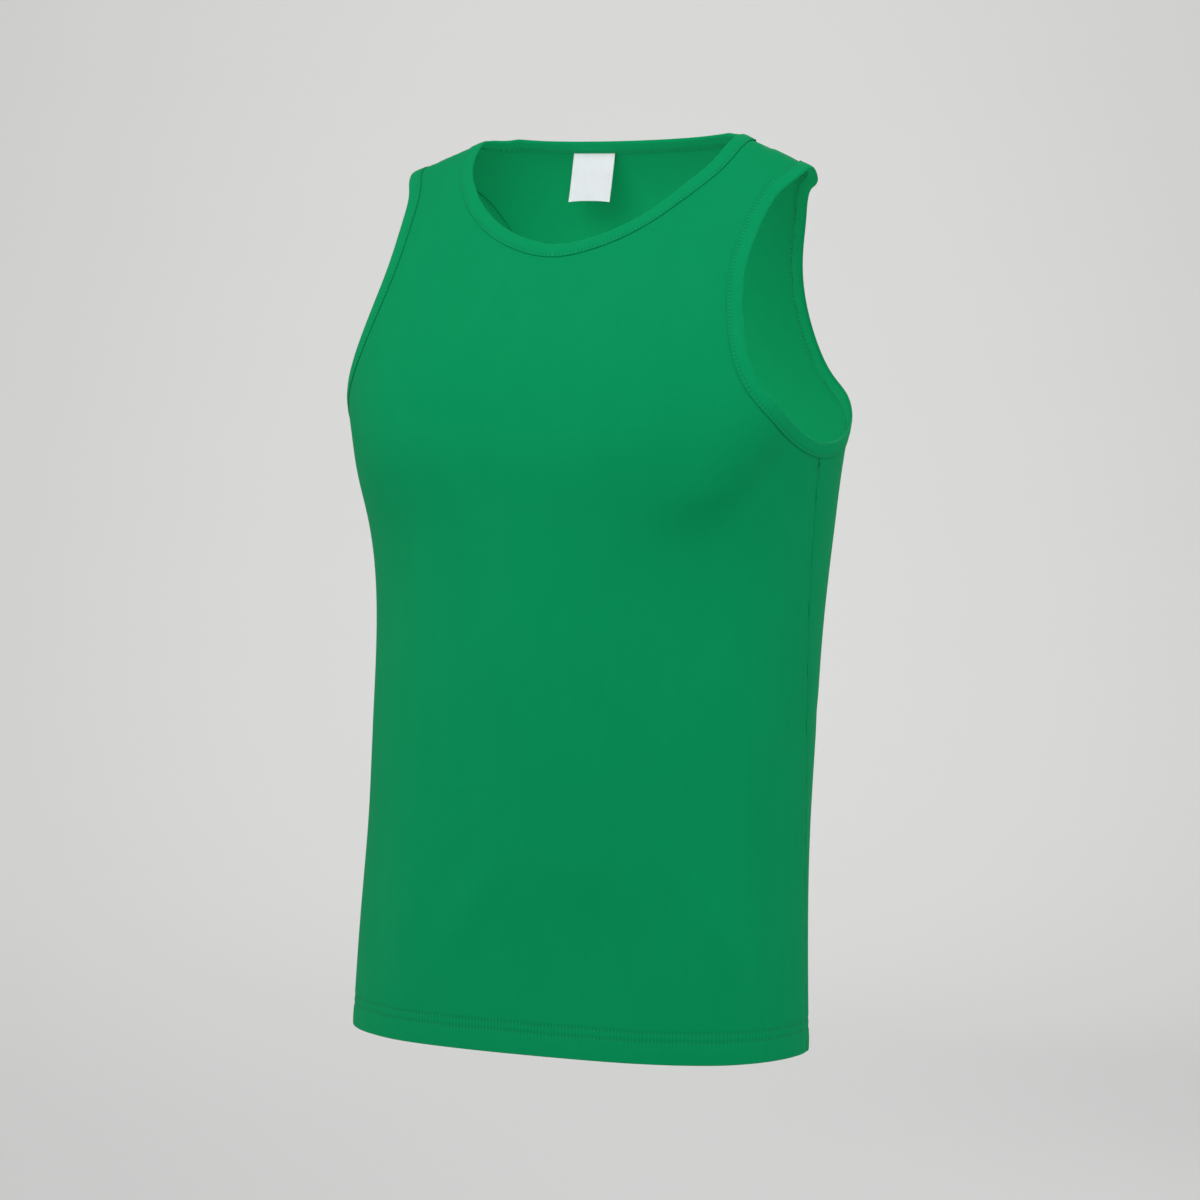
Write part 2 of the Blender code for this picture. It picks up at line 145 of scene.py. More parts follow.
def ripple(along: Array, wavelength: float, seed: int) -> Array:
    """An uneven wave, from about -1 to 1, as sewing leaves it in cloth.

    Args:
        along: distances along a seam, in metres.
        wavelength: its usual wavelength.
        seed: which wave.

    Returns:
        Its height.
    """
    random = np.random.default_rng(seed)
    total = np.zeros_like(along)
    for stretch in (0.62, 0.85, 1.15, 1.6):
        total += np.sin(2 * math.pi * along / (wavelength * stretch) + random.uniform(0, 2 * math.pi))
    return total / 2.6


# ---------------------------------------------------------------- shader maths


class Signal:
    """A number that varies over a surface, as the output socket of a node."""

    def __init__(self, looks: "Looks", socket: bpy.types.NodeSocket) -> None:
        """Keeps the socket and the material that it is in."""
        self.looks = looks
        self.socket = socket

    def __add__(self, other: "Signal | float") -> "Signal":
        """Self plus other."""
        return self.looks.maths("ADD", self, other)

    __radd__ = __add__

    def __sub__(self, other: "Signal | float") -> "Signal":
        """Self minus other."""
        return self.looks.maths("SUBTRACT", self, other)

    def __rsub__(self, other: "Signal | float") -> "Signal":
        """Other minus self."""
        return self.looks.maths("SUBTRACT", other, self)

    def __mul__(self, other: "Signal | float") -> "Signal":
        """Self times other."""
        return self.looks.maths("MULTIPLY", self, other)

    __rmul__ = __mul__

    def __truediv__(self, other: "Signal | float") -> "Signal":
        """Self over other."""
        return self.looks.maths("DIVIDE", self, other)

    def __rtruediv__(self, other: "Signal | float") -> "Signal":
        """Other over self."""
        return self.looks.maths("DIVIDE", other, self)

    def __pow__(self, other: "Signal | float") -> "Signal":
        """Self to the power of other."""
        return self.looks.maths("POWER", self, other)

    def wave(self) -> "Signal":
        """The sine of self turns, from 0 to 1."""
        return self.looks.maths("SINE", self * (2 * math.pi)) * 0.5 + 0.5

    def triangle(self) -> "Signal":
        """A fold that goes from 0 to 0.5 and back as self grows by 1."""
        return self.looks.maths("PINGPONG", self, 0.5)


class Looks:
    """A material with a Principled shader, and the nodes that drive it."""

    def __init__(self, name: str) -> None:
        """Makes the material.

        Args:
            name: the material's name.
        """
        self.material = bpy.data.materials.new(name)
        self.material.use_nodes = True
        self.tree = self.material.node_tree
        self.shader = self.tree.nodes["Principled BSDF"]

    def node(self, kind: str, settings: dict[str, Any] | None = None,
             inputs: dict[str | int, Any] | None = None) -> bpy.types.Node:
        """Adds a node.

        Args:
            kind: the node's type.
            settings: its properties, which are set first.
            inputs: values or links of its sockets.

        Returns:
            The node.
        """
        made = self.tree.nodes.new(kind)
        for name, value in (settings or {}).items():
            setattr(made, name, value)
        for name, value in (inputs or {}).items():
            self.feed(made.inputs[name], value)
        return made

    def feed(self, socket: bpy.types.NodeSocket, value: Any) -> None:
        """Sets a socket, or links it.

        Args:
            socket: the input.
            value: a Signal or an output socket to link, or the value itself.
        """
        if isinstance(value, Signal):
            value = value.socket
        if isinstance(value, bpy.types.NodeSocket):
            self.tree.links.new(value, socket)
        elif socket.type == "RGBA":
            socket.default_value = (*value, 1)
        else:
            socket.default_value = value

    def maths(self, operation: str, *values: "Signal | float") -> Signal:
        """Adds a Math node.

        Args:
            operation: the node's operation.
            *values: its inputs, in order.

        Returns:
            Its output.
        """
        made = self.node("ShaderNodeMath", {"operation": operation}, dict(enumerate(values)))
        return Signal(self, made.outputs[0])

    def parts(self, vector: bpy.types.NodeSocket) -> list[Signal]:
        """Returns the x, y and z of a vector."""
        split = self.node("ShaderNodeSeparateXYZ", inputs={0: vector})
        return [Signal(self, socket) for socket in split.outputs]

    def cloth_place(self) -> list[Signal]:
        """Returns the distances across and along the cloth, in metres, from the piece's UV map."""
        return self.parts(self.node("ShaderNodeUVMap", {"uv_map": "cloth"}).outputs["UV"])[:2]

    def noise(self, across: Signal, along: Signal, detail: float = 3) -> Signal:
        """Returns noise over two coordinates that are already scaled.

        Args:
            across: the first coordinate.
            along: the second coordinate.
            detail: how many octaves it has.
        """
        place = self.node("ShaderNodeCombineXYZ", inputs={0: across, 1: along})
        made = self.node("ShaderNodeTexNoise", {"noise_dimensions": "2D"},
                         {"Vector": place.outputs[0], "Scale": 1, "Detail": detail})
        return Signal(self, made.outputs[0])

    def shaded(self, colour: Colour, dark: "Colour | bpy.types.NodeSocket",
               share: Signal) -> bpy.types.NodeSocket:
        """Returns a colour that goes from dark to colour as the share goes from 0 to 1.

        Args:
            colour: the colour where the share is 1.
            dark: the colour where it is 0.
            share: the share.
        """
        made = self.node("ShaderNodeMix", {"data_type": "RGBA"}, {0: share, 6: dark, 7: colour})
        return made.outputs[2]

    def bump(self, height: Signal, depth: float) -> None:
        """Raises the surface softly by a height from 0 to 1.

        Args:
            height: the height.
            depth: what a height of 1 is, in metres.
        """
        made = self.node("ShaderNodeBump", inputs={"Height": height, "Distance": depth, "Strength": 0.5})
        self.feed(self.shader.inputs["Normal"], made.outputs[0])

    def set(self, **values: Any) -> None:
        """Sets the shader's sockets, named in small letters with underscores for spaces."""
        sockets = {socket.name.lower().replace(" ", "_"): socket for socket in self.shader.inputs}
        for name, value in values.items():
            self.feed(sockets[name], value)


@dataclass(frozen=True)
class KnitFinish:
    """Fine polyester sports knit: wales down the cloth, with a soft, almost matt face."""

    name: str
    colour: Colour = (0.001, 0.260, 0.092)
    dark: Colour = (0.001, 0.230, 0.081)
    shadow: Colour = (0.001, 0.150, 0.053)  # of the furrow that a stitch row draws
    tick: Colour = (0.004, 0.360, 0.135)  # painted highlight on the loops that stand up between its stitches, which catch the light
    fuzz: Colour = (0.3, 0.95, 0.55)
    rows: tuple[float, ...] = ()  # where along the flat cloth stitch rows run
    row_reach: float = 1.9 * MM
    wale: float = 1.0 * MM
    course: float = 0.8 * MM
    relief: float = 0.12 * MM
    streaks: tuple[float, float] = (700, 25)  # how fine the yarn's streaks are across and along, per metre
    clouds: tuple[float, float] = (28, 16)  # the same for soft patches

    def material(self) -> bpy.types.Material:
        """Returns the material."""
        looks = Looks(self.name)
        across, along = looks.cloth_place()
        wales = across / self.wale
        loops = (along / self.course + wales.triangle()).wave()
        height = wales.wave() * 0.6 + loops * 0.4
        streaks = looks.noise(across * self.streaks[0], along * self.streaks[1])
        clouds = looks.noise(across * self.clouds[0] + 7, along * self.clouds[1])
        # random tone from the streaks and clouds, and painted shade from the relief: the hollows between
        # wales and loops are darker
        cloth = looks.shaded(self.colour, self.dark, streaks * 0.45 + clouds * 0.35 + height * 0.2)
        for row in self.rows:
            near = looks.maths("EXPONENT", ((along - row) / self.row_reach) ** 2 * -1)
            tick = near * (across / STITCH_PITCH).wave() ** 2
            cloth = looks.shaded(self.shadow, cloth, near * 0.38)
            # the loops between the row's stitches get a painted highlight here, and a real bump in the next
            # line
            cloth = looks.shaded(self.tick, cloth, tick * 0.52)
            height = height + tick * 1.5
        looks.set(base_color=cloth, roughness=0.85 - clouds * 0.1, specular_ior_level=0.04,
                  sheen_weight=0.012, sheen_roughness=0.5, sheen_tint=self.fuzz)
        looks.bump(height * 0.7 + streaks * 0.3, self.relief)
        return looks.material


@dataclass(frozen=True)
class ThreadFinish:
    """Spun polyester sewing thread: twisted plies with a low gloss."""

    name: str
    colour: Colour = (0.004, 0.27, 0.10)
    dark: Colour = (0.002, 0.17, 0.062)
    lay: tuple[float, float, float] = (2600, 1820, 3380)  # turns of the plies per metre along x, y and z

    def material(self) -> bpy.types.Material:
        """Returns the material."""
        looks = Looks(self.name)
        x, y, z = looks.parts(looks.node("ShaderNodeTexCoord").outputs["Object"])
        twist = (x * self.lay[0] + y * self.lay[1] + z * self.lay[2]).wave()
        looks.set(base_color=looks.shaded(self.colour, self.dark, twist * 0.6 + 0.4),
                  roughness=0.65, specular_ior_level=0.15)
        return looks.material


@dataclass(frozen=True)
class SatinFinish:
    """White woven satin tape, as labels are cut from."""

    name: str
    colour: Colour = (0.82, 0.83, 0.86)
    dark: Colour = (0.70, 0.70, 0.75)
    thread: float = 0.22 * MM
    relief: float = 0.05 * MM
    clouds: tuple[float, float] = (90, 60)  # how fine its shade is across and along, per metre

    def material(self) -> bpy.types.Material:
        """Returns the material."""
        looks = Looks(self.name)
        across, along = looks.cloth_place()
        ribs = (across / self.thread).wave()
        picks = (along / (self.thread * 5) + (across / self.thread).triangle() * 2).wave()
        shade = looks.noise(across * self.clouds[0], along * self.clouds[1], 2)
        # random tone from the noise, and painted shade from the ribs: between them the satin is darker
        looks.set(base_color=looks.shaded(self.colour, self.dark, shade * 0.7 + ribs * 0.3),
                  roughness=0.42 + picks * 0.12, specular_ior_level=0.5, sheen_weight=0.1)
        looks.bump(ribs * 0.5 + picks * 0.5, self.relief)
        return looks.material


@dataclass(frozen=True)
class FloorFinish:
    """A plain pale studio floor."""

    name: str = "pale_floor"
    colour: Colour = (0.78, 0.78, 0.77)

    def material(self) -> bpy.types.Material:
        """Returns the material."""
        looks = Looks(self.name)
        looks.set(base_color=self.colour, roughness=0.9, specular_ior_level=0.2)
        return looks.material


# ---------------------------------------------------------------- the worn form


class Spline:
    """A natural cubic spline. Past its ends the end value holds."""

    def __init__(self, knots: Iterable[float], values: Iterable[float]) -> None:
        """Works out how the curve bends at its knots.

        Args:
            knots: the places, in rising order.
            values: the values there.
        """
        self.knots, self.values = np.array(knots, float), np.array(values, float)
        self.step = np.diff(self.knots)
        slope = np.diff(self.values) / self.step
        last = len(self.knots) - 1
        system, right = np.eye(last + 1), np.zeros(last + 1)
        for i in range(1, last):
            system[i, i - 1:i + 2] = self.step[i - 1], 2 * (self.step[i - 1] + self.step[i]), self.step[i]
            right[i] = 6 * (slope[i] - slope[i - 1])
        self.bend = np.linalg.solve(system, right)

    def __call__(self, at: Array) -> Array:
        """Returns the values at any places."""
        at = np.clip(at, self.knots[0], self.knots[-1])
        i = np.clip(np.searchsorted(self.knots, at) - 1, 0, len(self.step) - 1)
        b = (at - self.knots[i]) / self.step[i]
        a = 1 - b
        curve = ((a**3 - a) * self.bend[i] + (b**3 - b) * self.bend[i + 1]) * self.step[i] ** 2 / 6
        return a * self.values[i] + b * self.values[i + 1] + curve


@dataclass(frozen=True)
class Ring:
    """One level of the worn form, in millimetres from the body's upright axis."""

    height: float
    half_width: float
    front_depth: float
    back_depth: float
    centre_y: float
    front_square: float
    back_square: float


@dataclass(frozen=True)
class Fold:
    """A soft fold or swell: its middle, its half widths in degrees and millimetres, and its rise."""

    name: str
    angle: float
    height: float
    beside: float
    above: float
    below: float
    rise: float
    lean: float = 0.0  # degrees round the body for 100 mm of height


RINGS = (
    Ring(-700, 192, 108, 103, -49, 0.065, 0.014),
    Ring(-620, 188, 113, 105, -43, 0.056, 0.004),
    Ring(-540, 185, 117, 107, -36, 0.038, 0.005),
    Ring(-460, 185, 122, 110, -29, 0.031, 0.015),
    Ring(-380, 187, 126, 112, -23, 0.014, 0.023),
    Ring(-300, 194, 128, 114, -19, 0.039, 0.033),
    Ring(-220, 205, 126, 107, -18, 0.112, 0.080),
    Ring(-165, 211, 106, 93, -14, 0.120, 0.190),
    Ring(-110, 213, 84, 88, -10, 0.130, 0.190),
    Ring(-55, 210, 67, 86, -9, 0.090, 0.080),
    Ring(0, 212, 60, 78, -9, 0.032, -0.020),
)

LARGE_FOLDS = (
    Fold("right underarm", -62, -230, 17, 45, 30, -4.5),
    Fold("left chest", 46, -268, 12, 95, 29, 5.3, 18),
    Fold("right chest", -37, -245, 20, 85, 85, 3.6),
    Fold("hollow under the left chest", 48, -340, 16, 34, 60, -1.4),
    Fold("hollow under the right chest", -42, -350, 20, 50, 60, -0.6),
    Fold("middle of the belly", 8, -430, 15, 110, 90, 2.5),
    Fold("trough over the front hem", 14, -640, 26, 75, 90, -6.0),
    Fold("front fold by the left hip", 56, -590, 8, 130, 110, 3.5),
    Fold("front fold by the right hip", -30, -600, 9, 90, 110, 3.0),
    Fold("left shoulder blade", 157, -205, 14, 70, 60, 4.0),
    Fold("right shoulder blade", -157, -205, 14, 70, 60, 4.0),
    Fold("small of the back", 180, -430, 26, 110, 100, -6.0),
    Fold("back fold by the left hip", 146, -600, 10, 120, 110, 3.0),
    Fold("back fold by the right hip", -150, -590, 10, 130, 110, 3.5),
)

SMALL_FOLDS = (
    Fold("crease by the left armhole", 61, -260, 6, 34, 30, -2.6, 18),
    Fold("left leg of the lower trough", 54, -600, 6.5, 60, 65, 2.5, -24),
    Fold("right leg of the lower trough", -13, -600, 5.5, 55, 60, 2.2, 20),
    Fold("break over the lower trough", 16, -550, 15, 85, 34, 3.2),
    Fold("drape beside the left hip", 65.5, -550, 3.6, 120, 110, 1.5, -2.6),
    Fold("furrow beside the left hip", 60, -590, 2.8, 90, 90, -0.8, -2.6),
    Fold("pinch at the side seam", 84, -462, 5, 9, 12, -1.6, 30),
    Fold("second pinch at the side seam", 85, -440, 5, 8, 8, -1.1, 35),
    Fold("pull under the left armhole", 74, -283, 4, 22, 34, -1.2, -14),
    Fold("pull beside the left armhole", 66, -268, 4, 20, 26, -0.8, -20),
    Fold("pull under the right armhole", -74, -283, 4, 22, 34, -1.2, 14),
    Fold("right hip drape", -62, -560, 4, 90, 100, 1.0),
    Fold("belly furrow left", 24, -470, 4, 60, 80, -0.7, -3),
    Fold("belly furrow right", -14, -500, 4, 70, 70, -0.7, 3),
    Fold("back drape left", 128, -540, 4, 100, 90, 1.0, 2),
    Fold("back drape right", -131, -520, 4, 110, 90, 1.1, -2),
    Fold("pull at the back waist", -100, -452, 6, 10, 12, -1.2, -25),
    Fold("second pull at the back waist", 104, -448, 6, 9, 12, -1.0, 25),
)


@dataclass(frozen=True)
class WornForm:
    """The surface that the worn cloth follows."""

    rings: tuple[Ring, ...] = RINGS
    folds: tuple[Fold, ...] = LARGE_FOLDS + SMALL_FOLDS
    arch_start: float = -220 * MM
    ridge_level_to: float = 95 * MM  # from the middle, where the shoulders start to slope
    ridge_drop_at: float = 180 * MM  # where they have dropped by the next two values
    left_drop: float = 35 * MM
    right_drop: float = 31 * MM
    ridge_curve: float = 1.16
    right_reach: float = 9 * MM  # how much further out the wearer's right shoulder draws its strap
    strap: tuple[float, float] = (114.5 * MM, 176 * MM)  # its edges, from the middle
    side_seam: tuple[tuple[float, float], ...] = (  # heights in mm, and angles
        (-700, 100.5), (-620, 99), (-540, 97), (-460, 93), (-380, 89.1), (-300, 85.6), (-220, 82.4))

    @cached_property
    def curves(self) -> dict[str, Spline]:
        """Each column of the rings as a curve over height, in metres where it is a length."""
        heights = [ring.height * MM for ring in self.rings]
        return {
            name: Spline(heights, [getattr(ring, name) * (1 if name.endswith("square") else MM)
                                   for ring in self.rings])
            for name in ("half_width", "front_depth", "back_depth", "centre_y", "front_square", "back_square")
        }

    @cached_property
    def seam_curve(self) -> Spline:
        """The side seam's angle over height."""
        heights, angles = zip(*self.side_seam)
        return Spline([height * MM for height in heights], angles)

    def side_angle(self, height: Array) -> Array:
        """Returns where the side seam runs at a height."""
        return self.seam_curve(height)

    def either(self, column: str, angle: Array, height: Array) -> Array:
        """Returns a column of the rings that the front and the back each have their own of.

        Args:
            column: "square" or "depth".
            angle: angles.
            height: heights.
        """
        behind = np.cos(np.radians(angle)) < 0
        return np.where(behind, self.curves[f"back_{column}"](height), self.curves[f"front_{column}"](height))

    def fullness(self, angle: Array, height: Array) -> Array:
        """Returns how much further out than on an ellipse a place lies, as a factor."""
        return 1 + self.either("square", angle, height) * np.sin(2 * np.radians(angle)) ** 2

    def half_width_at(self, angle: Array, height: Array) -> Array:
        """Returns how far a place lies to the side of the middle."""
        return self.curves["half_width"](height) * np.sin(np.radians(angle)) * self.fullness(angle, height)

    def ridge_height(self, x: Array) -> Array:
        """Returns the real height of the shoulder ridge, this far from the middle."""
        out = np.maximum(np.abs(x) - self.ridge_level_to, 0) / (self.ridge_drop_at - self.ridge_level_to)
        return -np.where(x > 0, self.left_drop, self.right_drop) * out**self.ridge_curve

    def bare(self, angle: Array, height: Array) -> Array:
        """Returns points of the form without its folds.

        Args:
            angle: angles round the body.
            height: heights.

        Returns:
            Points, with x, y and z along the last axis.
        """
        angle, height = np.broadcast_arrays(np.asarray(angle, float), np.asarray(height, float))
        x = self.half_width_at(angle, height)
        depth = self.either("depth", angle, height) * np.cos(np.radians(angle))
        y = self.curves["centre_y"](height) - depth * self.fullness(angle, height)
        rise = np.clip((height - self.arch_start) / -self.arch_start, 0, 1) * math.pi / 2
        z = self.arch_start + (self.ridge_height(x) - self.arch_start) * np.sin(rise)
        reach = np.maximum(-x - self.strap[0], 0) / (self.strap[1] - self.strap[0])
        x = x - self.right_reach * reach * np.sin(rise) ** 3
        return np.stack([x, y * np.cos(rise), np.where(height < self.arch_start, height, z)], axis=-1)

    def across(self, surface: Callable[[Array, Array], Array], angle: Array,
               height: Array) -> tuple[Array, Array, Array]:
        """Measures how a surface runs at a place.

        Args:
            surface: the bare form or the cloth.
            angle: angles.
            height: heights.

        Returns:
            Its change for a degree, its change for a metre of height, and its way out.
        """
        turn, rise = 0.05, 0.2 * MM
        round_it = (surface(angle + turn, height) - surface(angle - turn, height)) / (2 * turn)
        top = np.minimum(height + rise, 0)
        low = top - 2 * rise
        up_it = (surface(angle, top) - surface(angle, low)) / (2 * rise)
        normal = np.cross(round_it, up_it)
        return round_it, up_it, normal / np.linalg.norm(normal, axis=-1, keepdims=True)

    def relief(self, angle: Array, height: Array) -> Array:
        """Returns how far the folds stand out of the bare form."""
        total = np.zeros(np.broadcast(angle, height).shape)
        for fold in self.folds:
            up = height - fold.height * MM
            aside = (angle - fold.angle - fold.lean * up / (100 * MM) + 180) % 360 - 180
            reach = np.where(up > 0, fold.above, fold.below) * MM
            total += fold.rise * MM * bell(aside, fold.beside) * bell(up, reach)
        return total

    def cloth(self, angle: Array, height: Array) -> Array:
        """Returns points in the middle of the cloth's thickness."""
        normal = self.across(self.bare, angle, height)[2]
        return self.bare(angle, height) + normal * self.relief(angle, height)[..., None]

    def normal(self, angle: Array, height: Array) -> Array:
        """Returns the way out of the cloth."""
        return self.across(self.cloth, angle, height)[2]

    def angle_at(self, x: Array, height: Array, face: Face) -> Array:
        """Returns the angle at which a ring is this far from the middle, on the front or the back."""
        low = np.zeros(np.broadcast(x, height).shape)
        high = low + 90
        for _ in range(40):
            middle = (low + high) / 2
            too_far = self.half_width_at(np.abs(face.value - middle), height) > x
            low, high = np.where(too_far, low, middle), np.where(too_far, middle, high)
        return np.abs(face.value - (low + high) / 2)

    def flat_place(self, angle: Array, height: Array, face: Face) -> tuple[Array, Array]:
        """Works out where a place was on the flat cloth.

        Args:
            angle: angles.
            height: heights.
            face: the panel, whose middle the distance across is counted from.

        Returns:
            The distances across and along, in metres.
        """
        share = np.linspace(0, 1, 17).reshape(-1, *([1] * np.ndim(angle)))
        line = self.bare(face.value + (angle - face.value) * share, height + 0 * share)
        across = np.linalg.norm(np.diff(line, axis=0), axis=-1).sum(0) * np.sign(angle - face.value)
        start = np.minimum(height, self.arch_start)
        line = self.bare(angle + 0 * share, start + (height - start) * share)
        return across, start + np.linalg.norm(np.diff(line, axis=0), axis=-1).sum(0)


@dataclass(frozen=True)
class Cut:
    """The edges of the panels: necklines, armholes, shoulders and hem, all at the fold of their binding."""

    form: WornForm
    neck_half_width: float = 114.5 * MM
    shoulder_half_width: float = 176 * MM
    armhole_bottom: float = -238.5 * MM
    front_neck: tuple[tuple[float, float], ...] = (  # mm from the middle, and heights in mm
        (0, -131), (30, -127), (55, -119), (75, -108), (92, -93), (104, -75), (111, -50))
    back_neck: tuple[tuple[float, float], ...] = ((0, -36), (40, -35), (72, -32), (94, -27), (108, -17))
    front_armhole: tuple[tuple[float, float], ...] = (  # angles, and heights in mm
        (76.5, -235), (64.5, -221), (52.5, -199), (45.5, -169), (41.8, -135), (42.2, -100), (46, -65),
        (51, -32))
    back_armhole: tuple[tuple[float, float], ...] = (
        (92, -238), (103, -233), (117, -221), (128.5, -208), (138, -197), (145.5, -175), (148, -140),
        (144.5, -103), (136, -65), (126.5, -31))

    def lengths(self, angle: Array, height: Array) -> Array:
        """Returns how far along a line its places are."""
        return run_of(self.form.bare(angle, height))

    def line(self, angle: Array, height: Array, shares: Array) -> tuple[Array, Array]:
        """Draws a smooth line through places.

        Args:
            angle: their angles.
            height: their heights.
            shares: where its stations lie, as shares of its length.

        Returns:
            The stations' angles and heights.
        """
        along = self.lengths(angle, height)
        fine = np.linspace(0, along[-1], 900)
        angle, height = Spline(along, angle)(fine), Spline(along, height)(fine)
        along = self.lengths(angle, height)
        wanted = shares * along[-1]
        return np.interp(wanted, along, angle), np.interp(wanted, along, height)

    def moved_in(self, angle: Array, height: Array, distance: float, turn: int) -> tuple[Array, Array]:
        """Moves a line over the cloth, into the panel.

        Args:
            angle: the line's angles.
            height: its heights.
            distance: how far, measured on the cloth.
            turn: 1 to go to the line's left, seen from outside, and -1 to go right.

        Returns:
            The moved line's angles and heights.
        """
        steps = 6
        for _ in range(steps if distance else 0):
            points = self.form.bare(angle, height)
            round_it, up_it, normal = self.form.across(self.form.bare, angle, height)
            inward = np.cross(normal, np.gradient(points, axis=0)) * turn
            inward *= distance / steps / np.linalg.norm(inward, axis=1, keepdims=True)
            rr, uu, ru = (round_it**2).sum(1), (up_it**2).sum(1), (round_it * up_it).sum(1)
            ri, ui = (round_it * inward).sum(1), (up_it * inward).sum(1)
            spread = rr * uu - ru**2
            angle = angle + (ri * uu - ui * ru) / spread
            height = np.minimum(height + (ui * rr - ri * ru) / spread, 0)
        return angle, height

    def neck_line(self, face: Face, distance: float, shares: Array) -> Array:
        """Returns the neckline from the centre to the ridge of the wearer's left shoulder.

        Args:
            face: the front or the back.
            distance: how far into the panel it is moved.
            shares: where its stations lie.
        """
        table = np.array(self.front_neck if face is Face.FRONT else self.back_neck, float) * MM
        x, height = np.append(table[:, 0], self.neck_half_width), np.append(table[:, 1], 0)
        angle = self.form.angle_at(x, height, face)
        mirrored = np.concatenate([2 * face.value - angle[:0:-1], angle])
        both = np.concatenate([(1 - shares[::-1]) / 2, (1 + shares[1:]) / 2])
        angle, height = self.line(mirrored, np.concatenate([height[:0:-1], height]), both)
        angle, height = self.moved_in(angle, height, distance, face.way)
        angle, height = angle[len(shares) - 1:], height[len(shares) - 1:]
        angle[0] = face.value
        angle[-1] = self.form.angle_at(self.neck_half_width + distance, 0, face)
        height[-1] = 0
        return np.array([angle, height])

    def arm_line(self, face: Face, distance: float, shares: Array) -> Array:
        """Returns the armhole from the side seam to the ridge of the wearer's left shoulder.

        Args:
            face: the front or the back.
            distance: how far into the panel it is moved.
            shares: where its stations lie.
        """
        table = np.array(self.front_armhole if face is Face.FRONT else self.back_armhole, float)
        seam = self.form.side_angle(self.armhole_bottom)
        ridge = self.form.angle_at(self.shoulder_half_width, 0, face)
        angle = np.concatenate([[seam], table[:, 0], [ridge]])
        height = np.concatenate([[self.armhole_bottom], table[:, 1] * MM, [0]])
        angle, height = self.line(angle, height, shares)
        angle, height = self.moved_in(angle, height, distance, -face.way)
        height[0] = self.armhole_bottom - distance
        angle[0] = self.form.side_angle(height[0])
        angle[-1] = self.form.angle_at(self.shoulder_half_width - distance, 0, face)
        height[-1] = 0
        return np.array([angle, height])

    def shoulder_line(self, face: Face, start: float, end: float, stations: int) -> Array:
        """Returns the shoulder seam between two angles, along the ridge."""
        ends = self.form.half_width_at(np.array([start, end]), np.zeros(2))
        x = np.linspace(*ends, stations + 1)
        return np.array([self.form.angle_at(x, 0 * x, face), 0 * x])


# ---------------------------------------------------------------- the pieces


def new_cloth() -> bmesh.types.BMesh:
    """Starts a bmesh with the UV map that the finishes of cloth read."""
    grid = bmesh.new()
    grid.loops.layers.uv.new("cloth")
    return grid


def join_up(grid: bmesh.types.BMesh) -> None:
    """Merges the points where sheets of a bmesh meet, and faces it outwards."""
    bmesh.ops.remove_doubles(grid, verts=grid.verts, dist=0.003 * MM)
    bmesh.ops.recalc_face_normals(grid, faces=grid.faces)


def made_object(name: str, grid: bmesh.types.BMesh, material: bpy.types.Material) -> bpy.types.Object:
    """Makes a bmesh a smooth object of the scene.

    Args:
        name: the object's name.
        grid: its bmesh, which is freed.
        material: its finish.

    Returns:
        The object.
    """
    mesh = bpy.data.meshes.new(name)
    grid.to_mesh(mesh)
    grid.free()
    mesh.shade_smooth()
    mesh.materials.append(material)
    made = bpy.data.objects.new(name, mesh)
    bpy.context.scene.collection.objects.link(made)
    return made


def put_on_body(piece: bpy.types.Object, node: str = "", slot: str = "") -> bpy.types.Object:
    """Puts a piece on the part's only body.

    Args:
        piece: the piece.
        node: the node that it stands for, if it does.
        slot: not used.

    Returns:
        The piece.
    """
    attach(piece, "root")
    if node:
        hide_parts(node)
    return piece


def thicken(piece: bpy.types.Object, wall: float, offset: float) -> None:
    """Gives a piece of one layer its thickness.

    Args:
        piece: the piece.
        wall: how thick it gets.
        offset: -1 where the layer is its outer side, and 0 where it is its middle.
    """
    solidify = piece.modifiers.new("wall", "SOLIDIFY")
    solidify.thickness, solidify.offset = wall, offset


def add_sheet(grid: bmesh.types.BMesh, points: Array, across: Array, along: Array) -> None:
    """Adds a grid of cloth to a bmesh, with its flat places as its UV map.

    Args:
        grid: the bmesh, which has a UV layer named cloth.
        points: its points, rows by columns.
        across: their distances across the flat cloth.
        along: their distances along it.
    """
    rows, columns = points.shape[:2]
    cloth = grid.loops.layers.uv["cloth"]
    made = bmesh.ops.create_grid(grid, x_segments=columns - 1, y_segments=rows - 1, size=0.5)
    places = {}
    for number, vert in enumerate(made["verts"]):
        i, j = divmod(number, columns)
        vert.co = points[i, j]
        places[vert] = (across[i, j], along[i, j])
    for face in {face for vert in made["verts"] for face in vert.link_faces}:
        for loop in face.loops:
            loop[cloth].uv = places[loop.vert]


